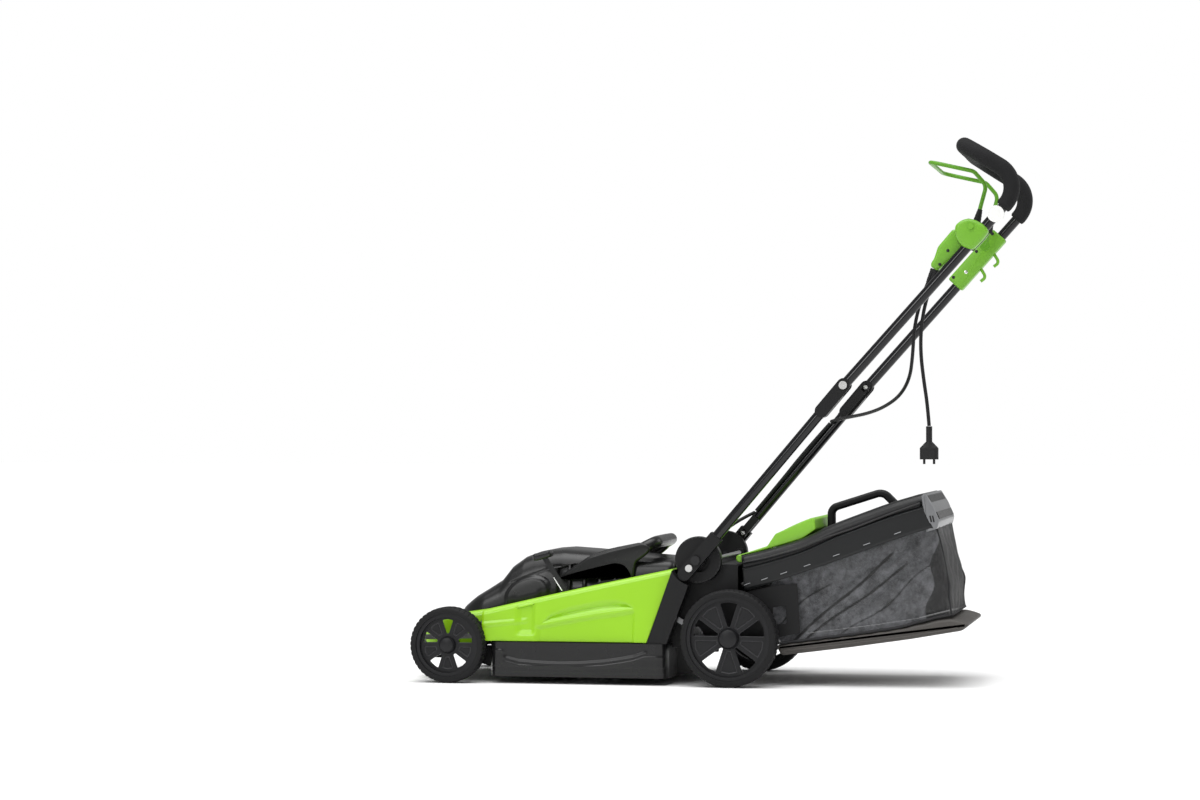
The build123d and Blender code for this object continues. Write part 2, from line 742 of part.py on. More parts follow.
lower_tube_from = foot_head - socket_depth
fold_at = along(pivot, lower_angle, lower_len)
slot_floor = 17.0           # from the fold bolt down to the sleeve's solid part
lower_tube_to = lower_len - slot_floor - 5
foot_plane = slope_plane(pivot, lower_angle, -tube_y)
with BuildPart() as foot:
    with BuildSketch(foot_plane):
        with Locations(((foot_head - foot_tail) / 2, 0)):
            SlotOverall(foot_head + foot_tail, 2 * foot_half_w)
        with Locations((foot_head - foot_half_w / 2, 0)):
            Rectangle(foot_half_w, 2 * foot_half_w)
    extrude(amount=foot_half_t, both=True)
    add(slope_rod(pivot, lower_angle, lower_tube_from, foot_head + 1, tube_r, -tube_y), mode=Mode.SUBTRACT)
    add(rod(*pivot, bolt_r + fit, -tube_y - 20, -tube_y + 20), mode=Mode.SUBTRACT)
    add(rod(*along(pivot, lower_angle, stud_s), bolt_r, -tube_y - 20, -tube_y + 20), mode=Mode.SUBTRACT)
both("handle_feet", foot.part)

with BuildPart() as clamp_stud:
    add(rod(*along(pivot, lower_angle, stud_s), bolt_r, -drum_y_out + groove_depth - 2, -tube_y - foot_half_t))
    add(rod(*along(pivot, lower_angle, stud_s), 7, -tube_y - foot_half_t, -tube_y - foot_half_t - 4))


def straight_tube(origin, angle, s_from, s_to):
    """Hollow tube on the left, up a slope."""
    with BuildPart() as body:
        add(slope_rod(origin, angle, s_from, s_to, tube_r, -tube_y))
        add(slope_rod(origin, angle, s_from, s_to, tube_r - tube_wall, -tube_y), mode=Mode.SUBTRACT)
    return body.part


both("lower_tubes", straight_tube(pivot, lower_angle, lower_tube_from, lower_tube_to))

# ---------------------------------------------------------------- fold joint: sleeve, bolt, cam levers
sleeve_head = 14.0
sleeve_tail = 78.0
sleeve_plane = slope_plane(fold_at, lower_angle, -tube_y)
with BuildPart() as sleeve:
    with BuildSketch(sleeve_plane):
        with Locations(((sleeve_head - sleeve_tail) / 2, 0)):
            SlotOverall(sleeve_head + sleeve_tail, 2 * sleeve_half_w)
    extrude(amount=sleeve_half_t, both=True)
    with BuildSketch(sleeve_plane):
        with Locations(((sleeve_head + 2 - slot_floor) / 2, 0)):
            Rectangle(sleeve_head + 2 + slot_floor, 2 * sleeve_half_w + 2)
    extrude(amount=tube_r + gap, both=True, mode=Mode.SUBTRACT)
    add(slope_rod(fold_at, lower_angle, -sleeve_tail - 1, lower_tube_to - lower_len, tube_r, -tube_y),
        mode=Mode.SUBTRACT)
    add(rod(*fold_at, bolt_r, -tube_y - 20, -tube_y + 20), mode=Mode.SUBTRACT)
both("mid_sleeves", sleeve.part)


def lever_eye_y(face_y):
    """Y of a cam lever's cross pin beside a face on the left."""
    return -face_y + gap + lever_eye_r


def cross_pin(at, angle, face_y):
    """The cam lever's pin, square to the bolt and to the slope."""
    a = radians(angle)
    normal = (-sin(a), 0, cos(a))
    with BuildPart() as pin:
        with BuildSketch(Plane(origin=(at[0], lever_eye_y(face_y), at[1]), z_dir=normal)):
            Circle(2.5)
        extrude(amount=lever_half_n, both=True)
    return pin.part


def cam_lever(at, angle, face_y, length, direction):
    """Cam lever on the inner face: forked round eye and a flat tail along the slope."""
    eye_y = lever_eye_y(face_y)
    a = radians(angle)
    normal = (-sin(a), 0, cos(a))
    plane = Plane(origin=(at[0], eye_y, at[1]), x_dir=(direction * cos(a), 0, direction * sin(a)), z_dir=normal)
    with BuildPart() as lever:
        with BuildSketch(plane):
            Circle(lever_eye_r)
            with Locations((length / 2, 0)):
                Rectangle(length, lever_eye_r + 3)
        extrude(amount=lever_half_n, both=True)
        with BuildSketch(plane):
            Circle(lever_eye_r + bolt_r)
            Circle(0.1, mode=Mode.SUBTRACT)
        extrude(amount=bolt_r + gap, both=True, mode=Mode.SUBTRACT)
        with BuildSketch(plane):
            Circle(2.5 + fit)
        extrude(amount=lever_half_n + 1, both=True, mode=Mode.SUBTRACT)
    return lever.part


mid_face_y = tube_y - sleeve_half_t
low_face_y = tube_y - foot_half_t
low_bolt_at = along(pivot, lower_angle, drum_r + lever_eye_r + 3)
with BuildPart() as mid_bolt:
    add(rod(*fold_at, bolt_r, -tube_y - sleeve_half_t, lever_eye_y(mid_face_y)))
    add(rod(*fold_at, 8, -tube_y - sleeve_half_t, -tube_y - sleeve_half_t - 4))
    add(cross_pin(fold_at, lower_angle, mid_face_y))
both("fold_bolts", mid_bolt.part)
pair("mid_lever", cam_lever(fold_at, lower_angle, mid_face_y, mid_lever_len, -1))

with BuildPart() as low_bolt:
    add(clamp_stud.part)
    add(rod(*low_bolt_at, bolt_r, -low_face_y, lever_eye_y(low_face_y)))
    add(cross_pin(low_bolt_at, lower_angle, low_face_y))
both("clamp_studs", low_bolt.part)
pair("lower_lever", cam_lever(low_bolt_at, lower_angle, low_face_y, low_lever_len, 1))

# ---------------------------------------------------------------- upper handle
elbow = along(fold_at, upper_angle, upper_len)
bar_at = along(elbow, reach_angle, reach_len)
upper_start = along(fold_at, upper_angle, -tube_r)


def handle_path(start):
    """Side arm, elbow, cross bar and back down, from a start point on the left arm."""
    return [
        (start[0], -tube_y, start[1]),
        (elbow[0], -tube_y, elbow[1]),
        (bar_at[0], -tube_y, bar_at[1]),
        (bar_at[0], tube_y, bar_at[1]),
        (elbow[0], tube_y, elbow[1]),
        (start[0], tube_y, start[1]),
    ]


def swept_ring(points, radii, outer, inner):
    """Round tube along a filleted route."""
    with BuildPart() as body:
        with BuildLine() as route:
            FilletPolyline(*points, radius=radii)
        with BuildSketch(Plane(origin=route.line @ 0, z_dir=route.line % 0)):
            Circle(outer)
            Circle(inner, mode=Mode.SUBTRACT)
        sweep()
    return body.part


handle_radii = [elbow_r, corner_r, corner_r, elbow_r]
with BuildPart() as upper_tube:
    add(swept_ring(handle_path(upper_start), handle_radii, tube_r, tube_r - tube_wall))
    for y in (-tube_y, tube_y):
        add(rod(*fold_at, bolt_r + fit, y - 12, y + 12), mode=Mode.SUBTRACT)
write("upper_tube", upper_tube.part)

foam_from = along(elbow, upper_angle, -elbow_r * tan(radians((reach_angle - upper_angle) / 2)) - 8)
write("foam_grip", swept_ring(handle_path(foam_from), handle_radii, foam_r, tube_r))

cap_at = along(elbow, upper_angle, -elbow_r * tan(radians((reach_angle - upper_angle) / 2)) - 26)
with BuildPart() as grip_cap:
    add(rod(*cap_at, 16, -tube_y - 4, -tube_y - foam_r))
    add(swept_ring(handle_path(upper_start), handle_radii, tube_r, 0.5), mode=Mode.SUBTRACT)
    cap_solid = grip_cap.solids().sort_by(Axis.Y)[0]
with BuildPart() as grip_cap_kept:
    add(cap_solid)
write("grip_cap", grip_cap_kept.part)

# ---------------------------------------------------------------- switch box, bail and cord hooks
hub_s = upper_len - 146.0   # bail hub, up the side arm from the fold bolt
hub = along(fold_at, upper_angle, hub_s, 8)
box_face_y = bail_y + bail_r + gap
box_out_y = tube_y + tube_r + 7
with BuildPart() as switch_box:
    add(rod(*hub, 32, -box_out_y, -box_face_y))
    add(slab([along(hub, upper_angle, -2, 30), along(hub, upper_angle, -62, 34), along(hub, upper_angle, -92, 12),
              along(hub, upper_angle, -98, 2), along(hub, upper_angle, -88, -6), along(hub, upper_angle, -28, 4)],
             -tube_y + tube_r + 2, -box_face_y, 4))
    add(slope_rod(fold_at, upper_angle, hub_s - 180, hub_s + 60, tube_r, -tube_y), mode=Mode.SUBTRACT)
    add(rod(*hub, bail_r + fit, -box_face_y - 12, -box_face_y + 2), mode=Mode.SUBTRACT)
    # pocket of the lock-off button
    add(rod(*along(hub, upper_angle, 14, 12), 6.3, -box_out_y - 1, -box_out_y + 6), mode=Mode.SUBTRACT)
write("switch_box", switch_box.part)

write("lock_button", rod(*along(hub, upper_angle, 14, 12), 6, -box_out_y - 3, -box_out_y + 3 - gap))

with BuildPart() as cord_block:
    with BuildSketch(slope_plane(hub, upper_angle, tube_y)):
        with Locations((-32, -4)):
            RectangleRounded(136, 36, 5)
    extrude(amount=box_out_y - tube_y, both=True)
    add(rod(*hub, 13, box_face_y, tube_y))
    add(slope_rod(fold_at, upper_angle, hub_s - 180, hub_s + 60, tube_r, tube_y), mode=Mode.SUBTRACT)
    add(rod(*hub, bail_r + fit, box_face_y - 2, box_face_y + 12), mode=Mode.SUBTRACT)
    # two hooks that carry the mains lead
    for s in (0, -40):
        root = along(hub, upper_angle, s, -23)
        tip = along(hub, upper_angle, s - 6, -40)
        end = along(hub, upper_angle, s - 19, -38)
        add(bar(root, tip, 4, tube_y - 12, tube_y - 2))
        add(bar(tip, end, 4, tube_y - 12, tube_y - 2))
write("cord_block", cord_block.part)

bail_points = [
    (hub[0], -bail_y, hub[1]),
    (hub[0] + 15, -bail_y, hub[1] + 60),
    (hub[0] + 26, -bail_y, hub[1] + 100),
    (hub[0] + 2, -bail_y, hub[1] + 128),
    (hub[0] - 84, -bail_y, hub[1] + 148),
]
bail_route = bail_points + [(x, -y, z) for x, y, z in reversed(bail_points)]
with BuildPart() as bail:
    with BuildLine() as bail_line:
        FilletPolyline(*bail_route, radius=[60, 20, 18, 24, 24, 18, 20, 60])
    with BuildSketch(Plane(origin=bail_line.line @ 0, z_dir=bail_line.line % 0)):
        Circle(bail_r)
    sweep()
    for y_sign in (-1, 1):
        add(rod(*hub, 10, y_sign * (bail_y - bail_r + gap), y_sign * (bail_y + bail_r - gap)))
        add(rod(*hub, bail_r, y_sign * bail_y, y_sign * (box_face_y + 10)))
write("bail", bail.part)

# ---------------------------------------------------------------- flap and grass catcher
lid_top = [(1, 250), (40, 259), (119, 283), (177, 312), (235, 334), (294, 356), (lid_len, 376)]
lid_low = [(10, 186), (69, 204), (118, 220), (216, 255), (274, 277), (333, 298), (lid_len + 10, 310)]


def lid_form(inset):
    """Solid form of the lid, drawn in by its wall."""
    top = [(catcher_x + x, z - inset) for x, z in lid_top]
    low = [(catcher_x + x, z - (12 if inset else 0)) for x, z in lid_low]
    top[0] = (top[0][0] + inset, top[0][1])
    top[-1] = (top[-1][0] - inset, top[-1][1])
    rear = (catcher_x + lid_len + 22 - inset, 321 if not inset else 300)
    low[-1] = (low[-1][0] + 6 - inset, low[-1][1])
    return slab(top + [rear] + list(reversed(low)), -lid_half_w + inset, lid_half_w - inset)


lid_solid = lid_form(0)
with BuildPart() as catcher_lid:
    add(lid_solid)
    add(lid_form(wall), mode=Mode.SUBTRACT)
write("catcher_lid", catcher_lid.part)

with BuildPart() as catcher_handle:
    with BuildLine() as grip_line:
        FilletPolyline(
            (catcher_x + 159, 0, 295), (catcher_x + 159, 0, 343), (catcher_x + 262, 0, 376),
            (catcher_x + 293, 0, 345), radius=[16, 22])
    with BuildSketch(Plane(origin=grip_line.line @ 0, z_dir=grip_line.line % 0)):
        RectangleRounded(15, 26, 6)
    sweep()
    add(lid_solid, mode=Mode.SUBTRACT)
    grip_solid = catcher_handle.solids().sort_by(SortBy.VOLUME)[-1]
with BuildPart() as catcher_handle_kept:
    add(grip_solid)
write("catcher_handle", catcher_handle_kept.part)

soft_gap = 0.5
bag_low = [(80, 82), (150, 93), (230, 104), (310, 117), (400, 142)]
bag_rear = [(414, 200), (400, 260), (386, 309)]
bag_front_x = 12.0


def bag_form(inset):
    """Side form of the mesh bag, between the lid above and the tray below."""
    front = bag_front_x if not inset else bag_front_x - 10
    top = [(x, z - soft_gap + (40 if inset else 0)) for x, z in lid_low[1:-1]]
    low = [(x, z + inset) for x, z in bag_low]
    rear = [(x - inset, z) for x, z in bag_rear]
    start = [(front, 186.5 - soft_gap + (40 if inset else 0)), (front, 100 + inset), (60, 90 + inset)]
    outline = start + low + rear + list(reversed(top))
    points = [(catcher_x + x, z) for x, z in outline]
    return slab(points, -bag_half_w + inset, bag_half_w - inset)


with BuildPart() as catcher_bag:
    add(bag_form(0))
    add(bag_form(bag_wall), mode=Mode.SUBTRACT)
    add(lid_solid, mode=Mode.SUBTRACT)
write("catcher_bag", catcher_bag.part)

tray_top = [(70, 80), (150, 91), (230, 102), (310, 115), (402, 139), (430, 138), (452, 130), (462, 124)]
tray_low = [(79, 59), (216, 77), (330, 94), (446, 114), (462, 118)]


def tray_form(inset):
    """Side form of the rigid tray under the bag."""
    top = [(x, z - soft_gap - (0 if not inset else -20)) for x, z in (tray_top if not inset else tray_top[:6])]
    low = [(x + inset, z + inset) for x, z in (tray_low if not inset else tray_low[:4])]
    points = [(catcher_x + x, z) for x, z in top + list(reversed(low))]
    return slab(points, -tray_half_w + inset, tray_half_w - inset)


with BuildPart() as catcher_tray:
    add(tray_form(0))
    add(tray_form(wall), mode=Mode.SUBTRACT)
write("catcher_tray", catcher_tray.part)

# front frame: a ring round the mouth and two side plates with a window each
with BuildPart() as catcher_frame:
    add(slab([(catcher_x, 92), (catcher_x + 8, 92), (catcher_x + 8, 184), (catcher_x, 184)],
             -lid_half_w + 2, lid_half_w - 2))
    add(slab([(catcher_x - 1, 104), (catcher_x + 9, 104), (catcher_x + 9, 190), (catcher_x - 1, 190)],
             -tunnel_half_w + 2, tunnel_half_w - 2), mode=Mode.SUBTRACT)
    for y_sign in (-1, 1):
        plate_in = y_sign * (bag_half_w + 1)
        plate_out = y_sign * (tray_half_w - 0.5)
        add(slab([(catcher_x, 92), (catcher_x + 60, 92), (catcher_x + 118, 104), (catcher_x + 112, 200),
                  (catcher_x + 69, 196), (catcher_x + 10, 182), (catcher_x, 184)], plate_in, plate_out))
        add(slab([(catcher_x + 66, 120), (catcher_x + 92, 122), (catcher_x + 90, 156), (catcher_x + 64, 154)],
                 plate_in * 0.98, plate_out * 1.02, 4), mode=Mode.SUBTRACT)
    add(lid_solid, mode=Mode.SUBTRACT)
write("catcher_frame", catcher_frame.part)

# ---------------------------------------------------------------- rear flap
flap_outline = [
    (flap_rod_x, flap_rod_z + flap_knuckle_r),
    (catcher_x + 50, 273),
    (catcher_x + 66, 297),
    (catcher_x + 138, 329),
    (catcher_x + 144, 326),
    (catcher_x + 146, 299 + 3 * flap_gap),
    (catcher_x + 119, 283 + flap_gap + 1),
    (catcher_x + 40, 259 + flap_gap + 1),
    (catcher_x - 2, 248 + flap_gap + 2),
    (flap_rod_x, flap_rod_z),
]
with BuildPart() as flap:
    add(slab(flap_outline, -flap_half_w, flap_half_w))
    add(rod(flap_rod_x, flap_rod_z, flap_knuckle_r, -flap_half_w, flap_half_w))
    add(rod(flap_rod_x, flap_rod_z, flap_rod_r + fit, -flap_half_w - 1, flap_half_w + 1), mode=Mode.SUBTRACT)
write("rear_flap", flap.part)
write("flap_rod", rod(flap_rod_x, flap_rod_z, flap_rod_r, -tunnel_half_w, tunnel_half_w))

# ---------------------------------------------------------------- mains lead, plug and motor cable
# The leads' points are chosen by hand, measured from the rear axle.
plug_z = 507
supply_points = [
    (395, -165, 801), (379, -163, 757), (368, -160, 705), (366, -156, 650),
    (372, -153, 595), (379, -151, 548), (382, -150, plug_z),
]
loop_points = [
    (388, -151, 804), (368, -151, 757), (353, -148, 700), (349, -136, 645), (340, -104, 600),
    (315, -52, 566), (277, 2, 544), (238, 56, 532), (201, 108, 526), (168, 152, 521), (149.5, 172.6, 516.0),
]
run_points = [(146.8, 176.5, 512.4), (93, 176, 453), (42, 176, 389), (-7, 176.5, 331.6)]
lead_points = [(-9.5, 175.4, 328.8), (-34, 159, 316), (-62, 136, 296), (-88, 108, 271), (-108, 80, 251), (-127.5, 60, 238)]


def placed(points):
    """A route measured from the rear axle, in the mower's frame."""
    return [(rear_x + x, y, z) for x, y, z in points]


for name, points in (("supply_cord", supply_points), ("cable_loop", loop_points),
                     ("cable_run", run_points), ("cable_lead", lead_points)):
    write(name, cord(placed(points), cord_r))

# plug at the end of the mains lead: neck, body and two pins, hanging straight down
plug_at = (rear_x + supply_points[-1][0], supply_points[-1][1])
plug_top = plug_z - gap
with BuildPart() as supply_plug:
    with BuildSketch(Plane.XY.offset(plug_top)):
        with Locations(plug_at):
            Circle(cord_r + 2.5)
    extrude(amount=-30)
    with BuildSketch(Plane.XY.offset(plug_top - 30)):
        with Locations(plug_at):
            Circle(cord_r + 3)
    with BuildSketch(Plane.XY.offset(plug_top - 42)):
        with Locations(plug_at):
            RectangleRounded(36, 18, 8)
    loft()
    with BuildSketch(Plane.XY.offset(plug_top - 42)):
        with Locations(plug_at):
            RectangleRounded(36, 18, 8)
    extrude(amount=-22)
    with BuildSketch(Plane.XY.offset(plug_top - 64)):
        with Locations(plug_at):
            with GridLocations(19, 0, 2, 1):
                Circle(2.4)
    extrude(amount=-9)
write("supply_plug", supply_plug.part)
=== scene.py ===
# %% [markdown]
# # A corded rotary lawn mower
# The object is a light electric mower: a coloured moulded shell over a black deck, a black motor cover, four
# spoked wheels, a folding tube handle with a switch box, and a grass catcher with a rigid lid and a mesh bag.
# The CAD model gives the frame. Here each visible surface gets its final shape and its material.

# %% Load the frame
import json

import bmesh
import bpy
import numpy as np
from math import atan2, cos, degrees, hypot, pi, radians, sin, tan
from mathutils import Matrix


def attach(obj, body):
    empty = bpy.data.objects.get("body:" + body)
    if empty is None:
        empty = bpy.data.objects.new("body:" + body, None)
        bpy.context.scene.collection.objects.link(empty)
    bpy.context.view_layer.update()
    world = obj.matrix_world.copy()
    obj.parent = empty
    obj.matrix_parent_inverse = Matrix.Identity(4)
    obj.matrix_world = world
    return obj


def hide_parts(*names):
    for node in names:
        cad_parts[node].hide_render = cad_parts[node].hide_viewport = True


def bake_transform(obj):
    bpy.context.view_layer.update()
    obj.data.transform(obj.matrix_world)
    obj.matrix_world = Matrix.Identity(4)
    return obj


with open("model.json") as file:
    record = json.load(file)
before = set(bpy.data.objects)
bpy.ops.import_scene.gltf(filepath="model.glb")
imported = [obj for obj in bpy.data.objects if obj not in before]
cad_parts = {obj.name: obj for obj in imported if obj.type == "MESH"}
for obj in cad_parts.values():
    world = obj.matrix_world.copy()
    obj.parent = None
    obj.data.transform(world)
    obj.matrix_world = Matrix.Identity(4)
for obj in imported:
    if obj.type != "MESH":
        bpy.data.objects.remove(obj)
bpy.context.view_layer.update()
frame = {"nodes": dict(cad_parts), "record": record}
nodes = frame["nodes"]
REAR = 46.0

# %% [markdown]
# ## Camera
# A long lens far to the side and a little behind, at about the height of the handle's middle, gives the calm
# view of a product picture. It is made first.

# %% Camera
camera_data = bpy.data.cameras.new("studio_camera")
camera_data.lens = 91.88
camera_data.sensor_width = 36.0
camera = bpy.data.objects.new("studio_camera", camera_data)
camera.location = (1.0112, -6.0802, 0.5140)
camera.rotation_euler = (radians(90.42), 0.0, radians(11.75))
bpy.context.scene.collection.objects.link(camera)
bpy.context.scene.camera = camera

# %% [markdown]
# ## Measures
# Sizes are in millimetres with X measured from the rear axle, because that is how such a machine is drawn.
# `row` turns them into the frame's metres.

# %% Measures


def row(points):
    """Points in millimetres from the rear axle, as metres in the frame: X plus 46, then divided by 1000."""
    p = np.asarray(points, float)
    return (p + np.array([REAR, 0.0, 0.0])) / 1000.0


def along(origin, angle, s, n=0.0):
    """Point (x, z) at s up a slope from origin and n above it."""
    a = radians(angle)
    return np.array([origin[0] + s * cos(a) - n * sin(a), origin[1] + s * sin(a) + n * cos(a)])


def smooth(t):
    """Eases from 0 to 1: 3 t squared minus 2 t cubed."""
    t = np.clip(t, 0.0, 1.0)
    return t * t * (3.0 - 2.0 * t)


def bump(x, middle, half):
    """A smooth hill of height 1 at the middle that reaches 0 at the half width: the square of 1 minus q squared."""
    q = np.clip(np.abs(x - middle) / half, 0.0, 1.0)
    return (1.0 - q * q) ** 2


# %% [markdown]
# ## From grids to meshes
# Every new piece is a surface over two parameters. A grid of points becomes quads between neighbours; a row
# that comes back to its start closes the tube, and a flat many-sided face closes an end.

# %% Mesh helpers


def grid_faces(nu, nv, close_u=False, close_v=False, start=0, keep=None):
    """Quads between the neighbours of an nu by nv grid, as an array; keep masks out single quads."""
    i = np.arange(nu if close_u else nu - 1)[:, None]
    j = np.arange(nv if close_v else nv - 1)[None, :]
    a, b = i * nv + j, ((i + 1) % nu) * nv + j
    c, d = ((i + 1) % nu) * nv + (j + 1) % nv, i * nv + (j + 1) % nv
    quads = np.stack([a, b, c, d], -1)
    quads = quads.reshape(-1, 4) if keep is None else quads[keep]
    return quads + start


def add(name, data):
    """A new object around the data, linked to the scene."""
    obj = bpy.data.objects.new(name, data)
    bpy.context.scene.collection.objects.link(obj)
    return obj


def at_y(points, y):
    """Side-view points (x, z) as points in space at one Y."""
    p = np.asarray(points, float)
    return np.stack([p[:, 0], np.full(len(p), y), p[:, 1]], 1)


def build_mesh(name, parts, uv=None):
    """One mesh from parts; a part is (points of shape (nu, nv, 3) in metres, close_u, close_v, caps, keep)."""
    points, faces, start = [], [], 0
    for grid, close_u, close_v, caps, keep in parts:
        nu, nv = grid.shape[:2]
        points.append(grid.reshape(-1, 3))
        faces += grid_faces(nu, nv, close_u, close_v, start, keep).tolist()
        if caps:
            faces.append((np.arange(nv)[::-1] + start).tolist())
            faces.append((np.arange(nv) + (nu - 1) * nv + start).tolist())
        start += nu * nv
    mesh = bpy.data.meshes.new(name)
    mesh.from_pydata(np.concatenate(points).tolist(), [], faces)
    mesh.update()
    if uv is not None:
        layer = mesh.uv_layers.new(name="cloth")
        corner = np.zeros(len(mesh.loops), np.int32)
        mesh.loops.foreach_get("vertex_index", corner)
        layer.data.foreach_set("uv", uv.reshape(-1, 2)[corner].astype(np.float32).ravel())
    return mesh


def clean(mesh, outward=True):
    """Merges doubled points and turns the faces of closed shapes outwards."""
    work = bmesh.new()
    work.from_mesh(mesh)
    bmesh.ops.remove_doubles(work, verts=work.verts, dist=1e-6)
    if outward:
        bmesh.ops.recalc_face_normals(work, faces=work.faces)
    work.to_mesh(mesh)
    work.free()


def piece(name, parts, finish, body, stands_for=(), closed=True, sharp=38.0, wall=0.0,
          uv=None):
    """Makes the object, gives it its finish, lets it ride on its body and hides the CAD nodes it stands for."""
    mesh = build_mesh(name, parts, uv)
    clean(mesh, closed)
    mesh.shade_smooth()
    mesh.set_sharp_from_angle(angle=radians(sharp))
    obj = add(name, mesh)
    if wall:
        thick = obj.modifiers.new("wall", "SOLIDIFY")
        thick.thickness = wall
        thick.offset = -1.0
    obj.data.materials.append(finish)
    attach(obj, body)
    if stands_for:
        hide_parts(*([stands_for] if isinstance(stands_for, str) else stands_for))
    return obj


def part(grid, close_u=False, close_v=False, caps=False, keep=None):
    """One part of a piece, with its points already in metres."""
    return (np.asarray(grid, float), close_u, close_v, caps, keep)


def round_corners(points, radius, steps=6, closed=True):
    """A polygon's corners as short arcs: each corner becomes points of a quadratic curve pulled to the corner."""
    p = np.asarray(points, float)
    r = np.full(len(p), radius, float) if np.isscalar(radius) else np.asarray(radius, float)
    before, after = np.roll(p, 1, axis=0), np.roll(p, -1, axis=0)
    back, ahead = before - p, after - p
    lb, la = np.linalg.norm(back, axis=1), np.linalg.norm(ahead, axis=1)
    reach = np.minimum(r, 0.45 * np.minimum(lb, la))
    if not closed:
        reach[0] = reach[-1] = 0.0
    a = p + back / np.maximum(lb, 1e-9)[:, None] * reach[:, None]
    b = p + ahead / np.maximum(la, 1e-9)[:, None] * reach[:, None]
    t = np.linspace(0.0, 1.0, steps)[None, :, None]
    arcs = (1 - t) ** 2 * a[:, None] + 2 * t * (1 - t) * p[:, None] + t ** 2 * b[:, None]
    if not closed:
        return np.concatenate([p[:1], arcs[1:-1].reshape(-1, p.shape[1]), p[-1:]])
    return arcs.reshape(-1, p.shape[1])


def shrink(outline, by):
    """A closed outline drawn in by a distance, along the mean of its neighbours' normals."""
    ahead, before = np.roll(outline, -1, axis=0), np.roll(outline, 1, axis=0)
    tangent = ahead - before
    tangent /= np.maximum(np.linalg.norm(tangent, axis=1), 1e-9)[:, None]
    area = np.sum(outline[:, 0] * ahead[:, 1] - ahead[:, 0] * outline[:, 1])
    inward = np.stack([-tangent[:, 1], tangent[:, 0]], 1) * (1.0 if area > 0 else -1.0)
    return outline + inward * by


def slab(outline, y_from, y_to, rounding, corner=3.0, steps=5, corner_steps=6):
    """A side-view outline carried across Y, drawn in along a quarter circle at both faces."""
    ring = round_corners(outline, corner, corner_steps)
    turn = np.linspace(0.0, pi / 2, steps)
    low, high = min(y_from, y_to), max(y_from, y_to)
    ys = np.concatenate([low + rounding * (1 - np.sin(turn)), high - rounding * (1 - np.sin(turn[::-1]))])
    ys = np.concatenate([np.sort(ys[:steps]), np.sort(ys[steps:])])
    ins = rounding * (1 - np.sin(np.concatenate([turn, turn[::-1]])))
    rings = [at_y(shrink(ring, by), y) for y, by in zip(ys, ins)]
    return part(row(np.array(rings)), False, True, True)


def tube(path, radius, sides=16, close=False, flat=1.0, up=(0.0, 1.0, 0.0)):
    """A round or oval bar: a ring of points carried along a path, in the plane square to it."""
    p = np.asarray(path, float)
    if close:
        tangent = np.roll(p, -1, axis=0) - np.roll(p, 1, axis=0)
    else:
        tangent = np.gradient(p, axis=0)
    tangent /= np.linalg.norm(tangent, axis=1)[:, None]
    u = np.tile(np.asarray(up, float), (len(p), 1))
    sidev = np.cross(tangent, u)
    sidev /= np.maximum(np.linalg.norm(sidev, axis=1), 1e-9)[:, None]
    lift = np.cross(sidev, tangent)
    angle = np.linspace(0, 2 * pi, sides, endpoint=False)
    r = np.full(len(p), radius, float) if np.isscalar(radius) else np.asarray(radius, float)
    ring = (np.cos(angle)[None, :, None] * lift[:, None, :]
            + flat * np.sin(angle)[None, :, None] * sidev[:, None, :]) * r[:, None, None]
    return part(row(p[:, None, :] + ring), close, True, not close)


def turned(profile, centre, sides=48):
    """A profile of (distance along Y, radius) turned about an axis along Y through the centre."""
    prof = np.asarray(profile, float)
    angle = np.linspace(0, 2 * pi, sides, endpoint=False)
    off, rad = prof[:, :1], prof[:, 1:]
    c, s = np.cos(angle)[None, :], np.sin(angle)[None, :]
    g = np.stack([rad * c, off + 0 * c, rad * s], -1)
    return part(row(g + np.asarray(centre, float)), False, True, True)


def arc_route(points, radii, steps=14):
    """Straight runs joined by circular arcs: at each corner, an arc that touches both runs."""
    p = np.asarray(points, float)
    out = [p[:1]]
    for before, here, after, r in zip(p, p[1:], p[2:], radii):
        a, b = before - here, after - here
        a, b = a / np.linalg.norm(a), b / np.linalg.norm(b)
        half = 0.5 * np.arccos(np.clip(a @ b, -1, 1))
        reach = r / tan(half)
        mid = (a + b) / np.linalg.norm(a + b)
        centre = here + mid * r / sin(half)
        start, end = here + a * reach - centre, here + b * reach - centre
        total = np.arccos(np.clip(start @ end / r / r, -1, 1))
        t = np.linspace(0, 1, steps)[:, None]
        out.append(centre + (np.sin((1 - t) * total) * start + np.sin(t * total) * end) / np.sin(total))
    out.append(p[-1:])
    return np.concatenate(out)


def resample(path, step):
    """The same path with points an even step apart."""
    p = np.asarray(path, float)
    length = np.concatenate([[0], np.cumsum(np.linalg.norm(np.diff(p, axis=0), axis=1))])
    at = np.linspace(0, length[-1], max(2, int(round(length[-1] / step)) + 1))
    return np.stack([np.interp(at, length, p[:, k]) for k in range(p.shape[1])], 1)

# %% [markdown]
# ## Shader helper
# Materials are written as sums. `Val` wraps one socket, so that `1 - mask` adds a Math node. Every other node
# comes from `Finish.node`, which takes its type, its settings and the values or links of its sockets.

# %% Shader helper


